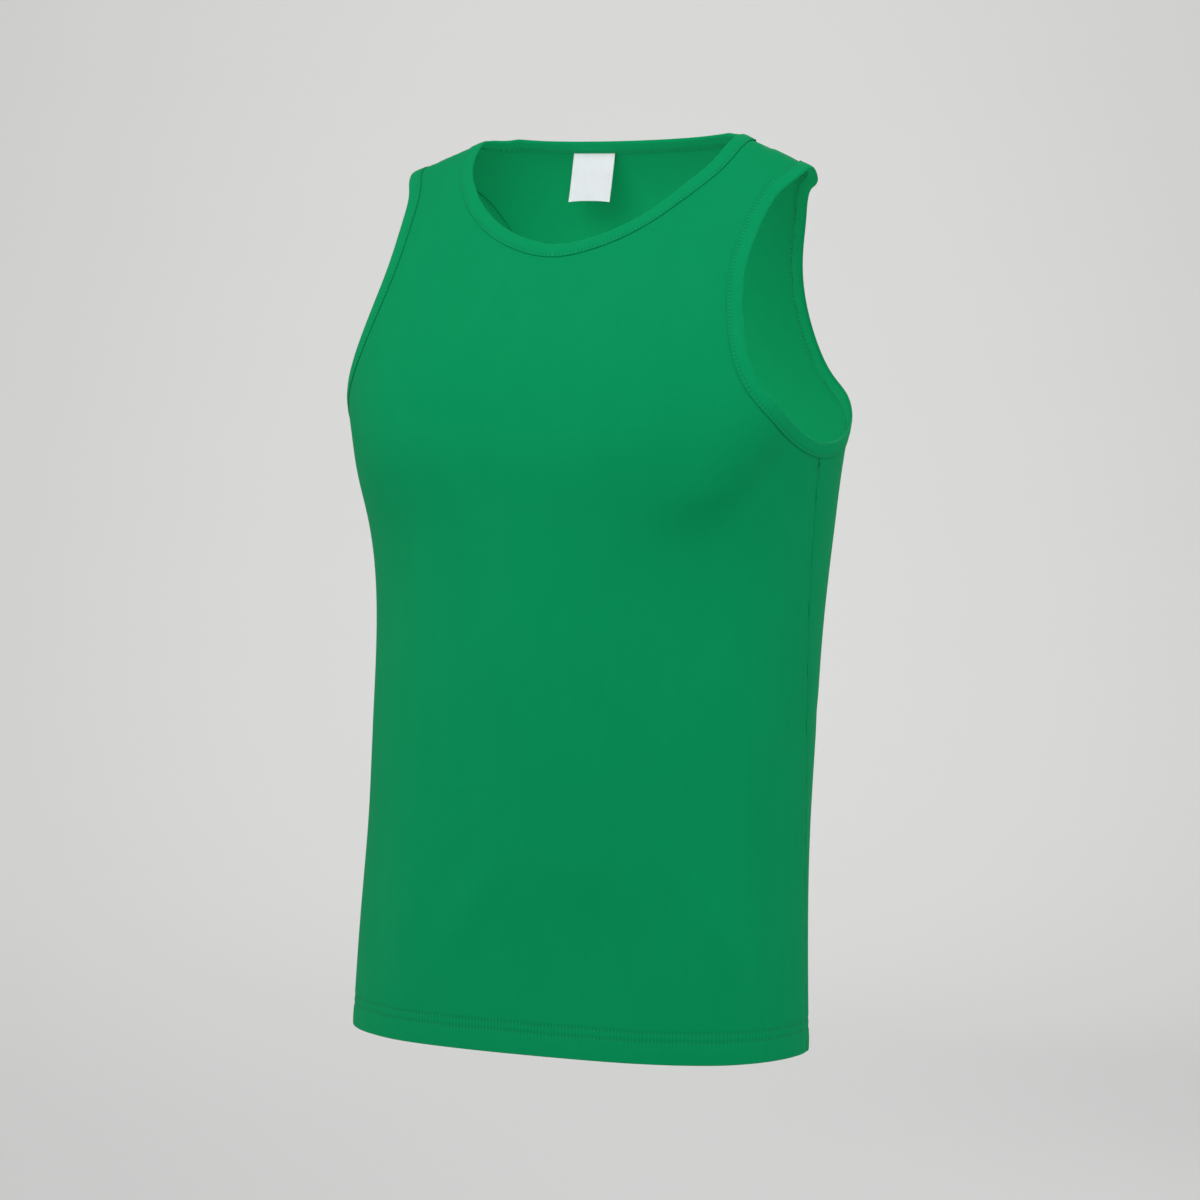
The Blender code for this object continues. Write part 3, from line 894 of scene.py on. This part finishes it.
@dataclass
class Panel:
    """A front or a back of one layer of knit, from the neckline and shoulders to the turned-up hem."""

    cut: Cut
    face: Face
    finish: KnitFinish
    name: str
    node: str
    slot: str
    flat: tuple[float, float]
    flat_area: float
    wall: float = 0.8 * MM
    stand: float = 0.45 * MM  # how far its outer side is from the middle of the solid
    seam_overlap: float = 0.15 * MM  # how far it goes past the seams, so that no light shows through them
    hem_depth: float = 25 * MM
    hem_radius: float = 0.9 * MM
    neck_stations: int = 44
    shoulder_stations: int = 9
    arm_stations: int = 62
    body_rows: int = 62
    chest_dip: float = 55 * MM  # how far the yoke's lower edge dips from the armholes to the middle
    degree: float = 2.6 * MM  # about what a degree round the body is on the cloth
    relaxings: int = 2500
    groove_depth: float = 0.55 * MM  # of the line along a seam
    groove_reach: float = 1.3 * MM
    draw_depth: float = 0.25 * MM  # of the cloth that a seam draws in beside it
    draw_reach: float = 6 * MM
    pucker_depth: float = 0.35 * MM
    pucker_reach: float = 7 * MM
    furrow_depth: float = 0.45 * MM  # of the line that each of the hem's rows draws in
    furrow_reach: float = 1.4 * MM
    sewn_level: float = 20 * MM  # between the two rows, over the lower edge
    hem_mean_radius: float = 155 * MM
    hem_wave: tuple[float, float, float] = (34 * MM, 0.3 * MM, 16 * MM)  # its length, height and reach
    hem_tick: tuple[float, float, float] = (7 * MM, 0.1 * MM, 5 * MM)  # the same, of each stitch's pull
    hem_swell: tuple[float, float, float] = (8 * MM, 0.35 * MM, 7 * MM)  # its level, height and reach
    border: tuple[float, ...] = (1.5, 6, 10.5, 11.8, 12.5, 13.2, 14.5, 17, 22)  # in mm from the folds

    def off_seam(self, angle: Array, height: Array) -> Array:
        """Returns how many degrees a place is from the nearer side seam."""
        return np.abs(np.minimum(np.abs(angle), 360 - angle) - self.cut.form.side_angle(height))

    def groove(self, distance: Array) -> Array:
        """Returns how far the cloth is pulled in, this far from a seam."""
        drawn = self.draw_depth * np.exp(-distance / self.draw_reach)
        return -self.groove_depth * bell(distance, self.groove_reach) - drawn

    def seam_relief(self, angle: Array, height: Array) -> Array:
        """Returns how the side and shoulder seams draw the cloth in, with its small puckers."""
        form = self.cut.form
        round_it, up_it, _ = form.across(form.bare, angle, height)
        to_side = self.off_seam(angle, height) * np.linalg.norm(round_it, axis=-1)
        to_ridge = -height * np.linalg.norm(up_it, axis=-1)
        waves = np.where(np.sin(np.radians(angle)) > 0, ripple(height, 26 * MM, 3 + self.face.value),
                         ripple(height, 23 * MM, 5 + self.face.value))
        at_side = self.groove(to_side) + waves * self.pucker_depth * bell(to_side, self.pucker_reach)
        below, on_ridge = height <= self.cut.armhole_bottom, height > -20 * MM
        return np.where(below, at_side, 0) + np.where(on_ridge, self.groove(to_ridge), 0)

    def hem_relief(self, angle: Array, height: Array) -> Array:
        """Returns how the hem's stitches draw the cloth in, and the slight waves of the hem."""
        up = height - HEM_LEVEL
        around = np.radians(angle) * self.hem_mean_radius
        rows = sum(bell(up - row, self.furrow_reach) for row in HEM_ROWS)
        level, rise, reach = self.hem_swell
        relief = rise * bell(up - level, reach) - self.furrow_depth * rows
        for seed, (length, rise, reach) in ((11, self.hem_wave), (17, self.hem_tick)):
            relief += ripple(around, length, seed) * rise * bell(up - self.sewn_level, reach)
        return relief

    def surface(self, places: Array, out: Array | float = 0) -> Array:
        """Returns the panel's outer side.

        Args:
            places: its angles and heights.
            out: how far each point is moved out of it.
        """
        angle, height = places
        form = self.cut.form
        off = self.stand + out + self.seam_relief(angle, height) + self.hem_relief(angle, height)
        points = form.cloth(angle, height) + form.normal(angle, height) * np.asarray(off)[..., None]
        on_seam = (height > -1e-9) | (self.off_seam(angle, height) < 1e-9)
        points[..., 1] -= np.where(on_seam, self.seam_overlap * self.face.way, 0)
        return points

    def filled(self, left: Array, right: Array, low: Array, top: Array) -> Array:
        """Fills a grid of places between four lines, with its inner lines evened out.

        The grid starts as a blend of the four lines. Its inner places are then relaxed until they run
        smoothly into each other.

        Args:
            left: the line up its left edge.
            right: the line up its right edge.
            low: the line along its lower edge.
            top: the line along its upper edge.

        Returns:
            Angles and heights, rows by columns.
        """
        share = np.linspace(0, 1, top.shape[1])
        up = np.linspace(0, 1, right.shape[1])[:, None]
        grid = []
        for k in (0, 1):
            corners = (1 - up) * ((1 - share) * low[k, 0] + share * low[k, -1])
            corners += up * ((1 - share) * top[k, 0] + share * top[k, -1])
            sides = (1 - share) * left[k][:, None] + share * right[k][:, None]
            grid.append(sides + (1 - up) * low[k] + up * top[k] - corners)
        scale = np.array([self.degree, 1])[:, None, None]
        flat = np.array(grid) * scale
        for _ in range(self.relaxings):
            over = (flat[:, 1:-1, 2:] - flat[:, 1:-1, :-2]) / 2
            rise = (flat[:, 2:, 1:-1] - flat[:, :-2, 1:-1]) / 2
            a, b, c = (rise**2).sum(0), (over * rise).sum(0), (over**2).sum(0)
            beside = flat[:, 1:-1, 2:] + flat[:, 1:-1, :-2]
            ends = flat[:, 2:, 1:-1] + flat[:, :-2, 1:-1]
            corners = (flat[:, 2:, 2:] - flat[:, 2:, :-2] - flat[:, :-2, 2:] + flat[:, :-2, :-2]) / 4
            flat[:, 1:-1, 1:-1] = (a * beside + c * ends - 2 * b * corners) / (2 * (a + c))
        return flat / scale

    def half(self) -> tuple[Array, Array, Array]:
        """Works out the left half.

        Returns:
            The places of its body with the yoke, of its strip along the neck and of that along the armhole.
        """
        face = self.face
        neck_shares = spaced(self.neck_stations, False, True)
        arm_shares = spaced(self.arm_stations, True, True)
        neck = np.stack([self.cut.neck_line(face, d * MM, neck_shares) for d in self.border], axis=1)
        arm = np.stack([self.cut.arm_line(face, d * MM, arm_shares) for d in self.border], axis=1)
        shoulder = self.cut.shoulder_line(face, neck[0, -1, -1], arm[0, -1, -1], self.shoulder_stations)
        top = np.concatenate([neck[:, -1], shoulder[:, 1:]], axis=1)
        right = arm[:, -1]
        share = spaced(top.shape[1] - 1, False, True)
        underarm = right[:, 0]
        chest = np.array([face.value + share * (underarm[0] - face.value),
                          underarm[1] - self.chest_dip * (1 - share**2)])
        rows = right.shape[1]
        centre = np.array([np.full(rows, face.value), np.linspace(chest[1, 0], top[1, 0], rows)])
        yoke = self.filled(centre, right, chest, top)
        start = HEM_LEVEL + self.hem_depth + 3 * MM
        rise = np.linspace(0, 1, self.body_rows + 1)[:-1, None]
        levels = start + rise * (chest[1] - start)
        angles = face.value + share * (self.cut.form.side_angle(levels) - face.value)
        return np.concatenate([[angles, levels], yoke], axis=1), neck, arm

    def hem_part(self, columns: Array) -> tuple[Array, Array, Array]:
        """Works out the hem below the body's first row: outside, the fold, and the layer turned inside.

        Args:
            columns: the places of the body's first row, from side to side.

        Returns:
            The places, how far each is moved out, and the distances along the flat cloth.
        """
        inside = np.array([24.6, 23, 21, 19, 17, 15, 12, 9, 6, 3.5, 1.8]) * MM
        turn = np.linspace(math.pi, 0, 9)
        outside = np.array([1.8, 3.5, 5.5, 8, 10.5, 13, 15, 16, 16.8, 17.6, 18.5, 20, 21.5, 22.5, 23.4, 24.2,
                            25.2, 26.5]) * MM
        radius = self.hem_radius
        up = np.concatenate([inside, radius * (1 - np.sin(turn)), outside])
        out = np.concatenate([np.full(len(inside), -2 * radius), radius * (np.cos(turn) - 1),
                              np.zeros(len(outside))])
        flat = np.concatenate([-inside, -radius * turn * 0.9, outside])
        height = HEM_LEVEL + up[:, None] + 0 * columns[0]
        side, middle = self.cut.form.side_angle, self.face.value
        share = (columns[0] - middle) / (side(columns[1]) - middle)
        angle = middle + share * (side(np.minimum(height, columns[1])) - middle)
        return np.array([angle, height]), out[:, None] + 0 * height, HEM_LEVEL + flat[:, None] + 0 * height

    def build(self) -> bpy.types.Object:
        """Builds the panel.

        Returns:
            The piece.
        """
        body, neck, arm = self.half()
        hem, hem_out, hem_along = self.hem_part(body[:, 0])
        whole = np.concatenate([hem, body], axis=1)
        out = np.concatenate([hem_out, np.zeros(body.shape[1:])])
        grid = new_cloth()
        for places, moved, along in ((whole, out, hem_along), (neck, 0, None), (arm, 0, None)):
            for side in Side:
                self.add_half(grid, places, moved, along, side)
        join_up(grid)
        chest = Vector(self.cut.form.cloth(np.array(float(self.face.value)), np.array(-300 * MM)))
        middle = min(grid.faces, key=lambda one: (one.calc_center_median() - chest).length)
        if middle.normal.y * self.face.way < 0:
            bmesh.ops.reverse_faces(grid, faces=grid.faces)
        piece = made_object(self.name, grid, self.finish.material())
        thicken(piece, self.wall, -1)
        return put_on_body(piece, self.node, self.slot)

    def add_half(self, grid: bmesh.types.BMesh, places: Array, out: Array | float, along: Array | None,
                 side: Side) -> None:
        """Adds one half of a grid of places.

        Args:
            grid: the bmesh.
            places: the places on the wearer's left.
            out: how far each point is moved out.
            along: the distances along the flat cloth of its first rows, where they aren't those of the form.
            side: which half.
        """
        angle, height = places
        if side is Side.RIGHT:
            angle = 2 * self.face.value - angle
        points = self.surface(np.array([angle, height]), out)
        on_middle = np.abs(angle - self.face.value) < 1e-9
        points[on_middle, 0] = 0
        across, flat_along = self.cut.form.flat_place(angle, height, self.face)
        if along is not None:
            flat_along[:len(along)] = along
        add_sheet(grid, points, across, flat_along)


def loop_of(line: Callable[[Face, float, Array], Array], distance: float, front: Array, back: Array,
            mirrored: bool) -> Array:
    """Joins a line's front and back halves into a ring of places.

    Args:
        line: the cut's neck line or arm line.
        distance: how far into the panels it is.
        front: where the front's stations lie.
        back: where the back's stations lie.
        mirrored: whether the ring goes on over the wearer's right, as the neckline does.

    Returns:
        Angles and heights. The last place isn't the first again.
    """
    back_half = line(Face.BACK, distance, back)[:, -2::-1]
    half = np.concatenate([line(Face.FRONT, distance, front), back_half], axis=1)
    if not mirrored:
        return half[:, :-1]
    other = half[:, -2:0:-1] * np.array([[-1], [1]])
    return np.concatenate([half, other], axis=1)


@dataclass
class Binding:
    """A strip of the same knit, folded over a raw edge and stitched down, as a closed ring."""

    cut: Cut
    name: str
    node: str
    slot: str
    finish: KnitFinish
    side: Side | None  # none is the neckline
    width: float = 12 * MM
    pitch: float = 1.5 * MM
    wave: float = 0.16 * MM
    needle_dip: float = 0.07 * MM  # how far each stitch draws the strip in
    reaches: tuple[float, ...] = (0, 3, 6, 9, 12.2)  # in mm from the fold, where the cloth is measured
    profile: tuple[tuple[float, float], ...] = (  # in mm from the fold and off the middle of the cloth
        (11.7, 0.62), (12.05, 0.85), (11.8, 1.12), (11.2, 1.24), (10.6, 1.16), (10.1, 1.06), (9.6, 1.16),
        (8.8, 1.34), (7.2, 1.46), (5.2, 1.52), (3.2, 1.50), (1.7, 1.38), (0.7, 1.08), (0.15, 0.6), (0, 0))

    def shares(self, length: float) -> Array:
        """Returns evenly spaced shares of a line of this length."""
        return np.linspace(0, 1, max(4, round(length / self.pitch)) + 1)

    def ring(self, distance: float) -> Array:
        """Returns the ring of places at a distance from the fold."""
        line = self.cut.neck_line if self.side is None else self.cut.arm_line
        rough = np.linspace(0, 1, 200)
        front, back = (self.shares(self.cut.lengths(*line(face, 0, rough))[-1]) for face in Face)
        ring = loop_of(line, distance, front, back, self.side is None)
        return ring * np.array([[self.side.value if self.side else 1], [1]])

    def frames(self, reaches: Iterable[float]) -> tuple[Array, Array]:
        """Works out the ring's points and ways out at several distances from the fold.

        Args:
            reaches: the distances, in metres.

        Returns:
            Points in the middle of the cloth, and the ways out.
        """
        form = self.cut.form
        rings = [self.ring(reach) for reach in reaches]
        return (np.array([form.cloth(*ring) for ring in rings]),
                np.array([form.normal(*ring) for ring in rings]))

    def along(self) -> Array:
        """Returns how far round the fold each station is."""
        return run_of(closed(self.cut.form.cloth(*self.ring(0.0))))

    def whole_profile(self) -> Array:
        """Returns the strip cut across, in metres: outside, fold, inside, and back along the slot."""
        outside = np.array(self.profile)
        inside = outside[-2::-1] * (1, -1)
        slot = np.array([(11.2, -0.6), (6, -0.6), (2.2, -0.6), (1.7, 0), (2.2, 0.6), (6, 0.6), (11.2, 0.6)])
        return closed(np.concatenate([outside, inside, slot])) * MM

    def build(self) -> bpy.types.Object:
        """Builds the strip.

        Returns:
            The piece.
        """
        reaches = np.array(self.reaches) * MM
        points, normals = self.frames(reaches)
        profile, along = self.whole_profile(), self.along()
        wave = ripple(along[:-1], 31 * MM, 23) * self.wave
        needle = self.needle_dip * np.cos(2 * math.pi * along[:-1] / STITCH_PITCH)
        rows = []
        for reach, out in profile:
            at = np.clip(np.searchsorted(reaches, reach) - 1, 0, len(reaches) - 2)
            share = (reach - reaches[at]) / (reaches[at + 1] - reaches[at])
            middle = points[at] + (points[at + 1] - points[at]) * share
            away = normals[at] + (normals[at + 1] - normals[at]) * share
            away /= np.linalg.norm(away, axis=1, keepdims=True)
            on_face = abs(out) > 0.9 * MM
            off = out + np.sign(out) * needle * bell(reach - STITCH_REACH, 1.1 * MM) * on_face
            off = off + wave * math.sin(math.pi * min(reach / self.width, 1))
            rows.append(closed(middle + away * (off + self.seam_dip(off, along[:-1]))[:, None]))
        grid = new_cloth()
        add_sheet(grid, np.array(rows), *np.meshgrid(along, run_of(profile)))
        join_up(grid)
        return put_on_body(made_object(self.name, grid, self.finish.material()), self.node, self.slot)

    def seam_dip(self, off: Array, along: Array) -> Array:
        """Returns how the strip is drawn in where the side seam crosses it, at its first station.

        Args:
            off: how far each point stands off the middle of the cloth.
            along: how far round each station is.
        """
        if self.side is None:
            return np.zeros_like(along)
        length = along[-1] + self.pitch
        away = np.minimum(along, length - along)
        return -0.45 * off * bell(away, 1.3 * MM)


@dataclass
class Stitching:
    """Rows of thread: each stitch is a short, fat bead of thread, sunk into the cloth."""

    name: str
    finish: ThreadFinish
    length: float = 2.3 * MM
    thickness: float = 0.42 * MM
    looper_thickness: float = 0.34 * MM
    batch: int = 30  # how many are made at a time, because small meshes are quick to add to
    places: list[Matrix] = field(default_factory=list)

    def add(self, middle: Array, ahead: Array, out: Array, length: float | None = None,
            thickness: float | None = None) -> None:
        """Places a stitch.

        Args:
            middle: its middle.
            ahead: the way that it runs.
            out: the way out of the cloth.
            length: its length, if it isn't the usual one.
            thickness: its thickness, if it isn't the usual one.
        """
        x, z = Vector(ahead).normalized(), Vector(out).normalized()
        y = z.cross(x).normalized()
        turned = Matrix((x, y, x.cross(y))).transposed().to_4x4()
        half, thick = (length or self.length) / 2, (thickness or self.thickness) / 2
        self.places.append(Matrix.Translation(middle) @ turned @ Matrix.Diagonal((half, thick, thick, 1)))

    def add_row(self, points: Array, out: Array) -> None:
        """Adds a row of stitches along a line.

        Args:
            points: the line.
            out: the way out of the cloth at each point.
        """
        along, step = run_of(points), 0.3 * MM
        count = max(1, round(along[-1] / STITCH_PITCH))
        at = (np.arange(count) + 0.5) * along[-1] / count
        ahead = sampled(at + step, along, points) - sampled(at - step, along, points)
        for one in zip(sampled(at, along, points), ahead, sampled(at, along, out)):
            self.add(*one)

    def add_rungs(self, first: Array, second: Array, out: Array, pitch: float) -> None:
        """Adds the looper threads inside, which cross from one row to the other.

        Args:
            first: a ring of points at one row.
            second: the same at the other row.
            out: the way off the cloth.
            pitch: how far each rung is from the next.
        """
        along = run_of(closed(first))
        count = round(along[-1] / pitch)
        for number in range(count):
            at = np.searchsorted(along, (number + 0.5) * along[-1] / count) - 1
            to = (at + 1) % len(first)
            start, end = (first[at], second[to]) if number % 2 else (first[to], second[at])
            length = float(np.linalg.norm(end - start))
            self.add((start + end) / 2, end - start, out[at], length, self.looper_thickness)

    def build(self) -> bpy.types.Object:
        """Builds all the stitches as one piece.

        Returns:
            The piece.
        """
        along_x = Matrix.Rotation(math.pi / 2, 4, "Y")
        whole = bmesh.new()
        for start in range(0, len(self.places), self.batch):
            few, mesh = bmesh.new(), bpy.data.meshes.new("few stitches")
            for place in self.places[start:start + self.batch]:
                bmesh.ops.create_uvsphere(few, u_segments=6, v_segments=5, radius=1, matrix=place @ along_x)
            few.to_mesh(mesh)
            few.free()
            whole.from_mesh(mesh)
            bpy.data.meshes.remove(mesh)
        return put_on_body(made_object(self.name, whole, self.finish.material()))


@dataclass
class NeckLabel:
    """The bare satin label inside the back neck, held by the stitches of the neck binding."""

    cut: Cut
    finish: SatinFinish
    width: float = 37 * MM
    length: float = 38 * MM
    middle: float = -33.5 * MM
    binding_edge: float = 12.3 * MM  # how far the binding's edge is from its fold
    under: float = 4 * MM  # how far it goes on under the binding
    lean: float = 11.0  # degrees by which it hangs forward of the plumb line
    stand: float = 0.75 * MM  # how far it is from the middle of the back's cloth
    curl: float = 1.6 * MM  # how far its lower corners lift
    pleat: float = 0.35 * MM  # how deep the small waves at its top are
    wall: float = 0.3 * MM
    columns: int = 36
    rows: int = 42

    def top_height(self, x: Array, distance: float) -> Array:
        """Returns the height of the neckline, moved down by a distance, at each x."""
        angle, height = self.cut.neck_line(Face.BACK, distance, np.linspace(0, 1, 120))
        return np.interp(np.abs(x), self.cut.form.half_width_at(angle, height), height)

    def height_below(self, x: Array, top: Array, length: float) -> Array:
        """Returns the height at which the back has run down by a length from the top."""
        height, form = np.array(top, float), self.cut.form
        for _ in range(8):
            angle = form.angle_at(np.abs(x), height, Face.BACK)
            speed = np.linalg.norm(form.across(form.bare, angle, height)[1], axis=-1)
            height = height - length / 8 / speed
        return height

    def build(self) -> bpy.types.Object:
        """Builds the label.

        Returns:
            The piece.
        """
        form = self.cut.form
        side = np.linspace(-1, 1, self.columns + 1)
        x = self.middle + side * self.width / 2
        start = self.top_height(x, self.binding_edge - self.under)
        lean = math.radians(self.lean)
        fall = np.array((0, -math.sin(lean), -math.cos(lean)))
        downs = np.linspace(0, self.length + self.under, self.rows + 1)
        points = []
        for down in downs:
            free = max(0.0, down - self.under)
            share = free / self.length
            if not free:
                height = self.height_below(x, start, down)
                angle = form.angle_at(np.abs(x), height, Face.BACK) * np.sign(x)
                held, away = form.cloth(angle, height), -form.normal(angle, height)
            curl = self.curl * share**3 * np.abs(side) ** 2.5
            pleats = self.pleat * bell(share, 0.28) * np.cos(side * 9 + 0.6) * (free > 0)
            points.append(held + free * fall + away * (self.stand + curl + pleats)[:, None])
        grid = new_cloth()
        add_sheet(grid, np.array(points), *np.meshgrid(x - self.middle, -downs))
        bmesh.ops.recalc_face_normals(grid, faces=grid.faces)
        piece = made_object("bare_neck_label", grid, self.finish.material())
        thicken(piece, self.wall, 0)
        return put_on_body(piece, "neck_label", "label_satin")


# ---------------------------------------------------------------- the studio


@dataclass(frozen=True)
class Lamp:
    """A soft square light that hangs round the chest, at angles in degrees, with its power in watts."""

    name: str
    turn: float
    climb: float
    power: float

    def way(self) -> Vector:
        """Returns the way from the chest to the light."""
        turn, climb = math.radians(self.turn), math.radians(self.climb)
        return Vector((math.sin(turn) * math.cos(climb), -math.cos(turn) * math.cos(climb), math.sin(climb)))


LAMPS = (
    Lamp("front_light", -10, 40, 20),
    Lamp("key_light", 30, 40, 22),
    Lamp("left_light", 110, 10, 16),
    Lamp("right_light", -75, 6, 11),
    Lamp("top_light", 200, 72, 6),
    Lamp("back_light", 185, 30, 16),
)


@dataclass(frozen=True)
class Studio:
    """A plain pale floor, soft light, and the camera at the photograph's angle."""

    floor_level: float = -1.25
    floor_reach: float = 14.0
    floor_points: tuple[int, int] = (60, 9)  # along the view and across it
    cove_start: float = 3.5  # how far behind the garment the floor starts to curve up
    cove_radius: float = 4.0
    camera_place: Place = (1.654013, -2.751883, -0.166953)
    camera_turn: float = 31.191
    camera_tilt: float = 3.530
    focal_pixels: float = 4112.94
    frame_pixels: float = 1200.0
    sensor: float = 36.0
    lamps: tuple[Lamp, ...] = LAMPS
    chest: Place = (0, -0.03, -0.35)
    lamp_distance: float = 2.2
    lamp_size: float = 1.6
    inner_place: Place = (-0.05, -0.07, -0.36)  # in the hollow, low behind the front
    inner_target: Place = (0.05, 0.08, -0.12)
    inner_size: float = 0.12
    inner_power: float = 0.7
    wall_place: Place = (-1.3, 2.3, 2.4)
    wall_target: Place = (-4.6, 7.8, 0.4)
    wall_size: float = 2.0
    wall_power: float = 115.0
    air: Colour = (0.93, 0.94, 0.95)
    air_strength: float = 0.3

    def build(self) -> None:
        """Builds the floor, the lights, the surroundings and the camera, with plain colours."""
        view = bpy.context.scene.view_settings
        view.view_transform, view.look = "Standard", "None"
        self.build_floor()
        self.build_lights()
        self.build_world()
        self.build_camera()

    def build_floor(self) -> None:
        """Lays a wide floor below the hem. Far behind the garment it curves up into a wall."""
        reach, (rows, columns) = self.floor_reach, self.floor_points
        aside, length = np.meshgrid(np.linspace(-reach, reach, columns), np.linspace(-reach, reach, rows))
        bend = np.clip((length - self.cove_start) / self.cove_radius, 0, math.pi / 2)
        climb = np.maximum(length - self.cove_start - self.cove_radius * math.pi / 2, 0)
        away = np.minimum(length, self.cove_start) + self.cove_radius * np.sin(bend)
        up = self.floor_level + self.cove_radius * (1 - np.cos(bend)) + climb
        turn = math.radians(self.camera_turn)
        points = np.stack([aside * math.cos(turn) - away * math.sin(turn),
                           aside * math.sin(turn) + away * math.cos(turn), up], axis=-1)
        grid = new_cloth()
        add_sheet(grid, points, aside, length)
        floor = made_object("studio_floor", grid, FloorFinish().material())
        floor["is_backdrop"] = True

    def area_light(self, name: str, place: Iterable[float], target: Iterable[float], size: float,
                   power: float) -> None:
        """Adds a soft square light.

        Args:
            name: its name.
            place: where it is.
            target: what it points at.
            size: the length of its side.
            power: its power in watts.
        """
        lamp = bpy.data.lights.new(name, "AREA")
        lamp.shape, lamp.size, lamp.energy = "SQUARE", size, power
        light = bpy.data.objects.new(name, lamp)
        light.location = place
        light.rotation_euler = (Vector(target) - Vector(place)).to_track_quat("-Z", "Y").to_euler()
        bpy.context.scene.collection.objects.link(light)

    def build_lights(self) -> None:
        """Hangs soft lights round the chest, one inside the hollow, and one for the wall far behind."""
        for lamp in self.lamps:
            place = Vector(self.chest) + lamp.way() * self.lamp_distance
            self.area_light(lamp.name, place, self.chest, self.lamp_size, lamp.power)
        self.area_light("inner_light", self.inner_place, self.inner_target, self.inner_size, self.inner_power)
        self.area_light("wall_light", self.wall_place, self.wall_target, self.wall_size, self.wall_power)

    def build_world(self) -> None:
        """Gives the surroundings a plain pale light."""
        world = bpy.data.worlds.new("studio_air")
        world.use_nodes = True
        back = world.node_tree.nodes["Background"]
        back.inputs["Color"].default_value = (*self.air, 1)
        back.inputs["Strength"].default_value = self.air_strength
        bpy.context.scene.world = world

    def build_camera(self) -> None:
        """Places the camera as the photograph was taken."""
        data = bpy.data.cameras.new("photo_camera")
        data.sensor_width = self.sensor
        data.lens = self.focal_pixels / self.frame_pixels * self.sensor
        data.clip_start, data.clip_end = 0.05, 100
        camera = bpy.data.objects.new("photo_camera", data)
        turn, tilt = math.radians(self.camera_turn), math.radians(self.camera_tilt)
        back = Vector((math.sin(turn), -math.cos(turn), 0))
        forward = -back * math.cos(tilt) - Vector((0, 0, math.sin(tilt)))
        camera.location = self.camera_place
        camera.rotation_euler = forward.to_track_quat("-Z", "Y").to_euler()
        bpy.context.scene.collection.objects.link(camera)
        bpy.context.scene.camera = camera


@dataclass
class Vest:
    """The whole garment: two panels, three bindings, the label and their stitching."""

    cut: Cut
    bright: Colour = (0.001, 0.284, 0.101)  # the strips of the bindings, which catch more light
    dark: Colour = (0.001, 0.232, 0.082)

    def build(self) -> None:
        """Builds every piece, and reports it."""
        panels = self.build_panels()
        bindings = self.build_bindings()
        hem = self.hem_stitching(panels[Face.FRONT][0], panels[Face.BACK][0])
        stitching = self.binding_stitching([one for one, _ in bindings])
        label = NeckLabel(self.cut, SatinFinish("white_satin")).build()
        for (binding, piece), thread in zip(bindings, stitching):
            length = float(binding.along()[-1])
            LOG.info("%s: %.0f mm round its fold", piece.name, length / MM)

    def build_panels(self) -> dict[Face, tuple[Panel, bpy.types.Object]]:
        """Builds the front and the back."""
        ticks = tuple(HEM_LEVEL + row for row in HEM_ROWS)
        made = {}
        for face, side, flat, area in ((Face.FRONT, "front", (0.55, 0.76), 0.330),
                                       (Face.BACK, "back", (0.53, 0.76), 0.310)):
            finish = KnitFinish(f"{side}_green_knit", rows=ticks)
            panel = Panel(self.cut, face, finish, f"{side}_knit_panel", f"{side}_panel", f"{side}_knit",
                          flat, area)
            made[face] = (panel, panel.build())
            LOG.info("%s: %d faces", panel.name, len(made[face][1].data.polygons))
        return made

    def build_bindings(self) -> list[tuple[Binding, bpy.types.Object]]:
        """Builds the neck binding and both armhole bindings."""
        made = []
        for name, node, slot, side in (
                ("neck_binding_strip", "neck_binding", "neck_binding_knit", None),
                ("left_armhole_strip", "left_armhole_binding", "left_binding_knit", Side.LEFT),
                ("right_armhole_strip", "right_armhole_binding", "right_binding_knit", Side.RIGHT)):
            finish = KnitFinish(name.replace("strip", "knit"), self.bright, self.dark, rows=STRIP_ROWS)
            binding = Binding(self.cut, name, node, slot, finish, side)
            made.append((binding, binding.build()))
        return made

    def hem_stitching(self, front: Panel, back: Panel) -> bpy.types.Object:
        """Sews the two needle rows of the hem, and their loopers inside."""
        sewing = Stitching("hem_stitches", ThreadFinish("hem_thread"))
        inner = []
        for row in HEM_ROWS:
            level = HEM_LEVEL + row
            seam = float(self.cut.form.side_angle(np.array(level)))
            ring = []
            for panel, ends in ((front, (-seam, seam)), (back, (seam, 360 - seam))):
                places = np.array([np.linspace(*ends, 260), np.full(260, level)])
                out = self.cut.form.normal(*places)
                sewing.add_row(panel.surface(places, 0.02 * MM), out)
                inside = panel.surface(places, -2 * panel.hem_radius - 0.05 * MM)
                ring.append((inside[1:-1], -out[1:-1]))
            inner.append([np.concatenate(parts) for parts in zip(*ring)])
        sewing.add_rungs(inner[0][0], inner[1][0], inner[0][1], 2.0 * MM)
        return sewing.build()

    def binding_stitching(self, bindings: list[Binding]) -> list[bpy.types.Object]:
        """Sews each binding's needle row, and the loopers on its inside."""
        on_top, under_low, under_high = 1.08 * MM, 1.32 * MM, 1.22 * MM  # off the middle of the cloth
        made = []
        for binding in bindings:
            name = binding.name.replace("strip", "stitches")
            sewing = Stitching(name, ThreadFinish(name.replace("stitches", "thread")))
            (low, row, high), (low_out, out, high_out) = binding.frames((8.6 * MM, STITCH_REACH, 11.4 * MM))
            sewing.add_row(closed(row + out * on_top), closed(out))
            sewing.add_rungs(low - low_out * under_low, high - high_out * under_high, -out, 1.9 * MM)
            made.append(sewing.build())
        return made


def main() -> None:
    """Builds the garment and the studio."""
    logging.basicConfig(level=logging.INFO, format="%(message)s")
    cut = Cut(WornForm())
    Vest(cut).build()
    Studio().build()
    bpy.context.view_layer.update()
    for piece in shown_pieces():
        LOG.info("piece %s", piece.name)


if __name__ == "__main__":
    main()
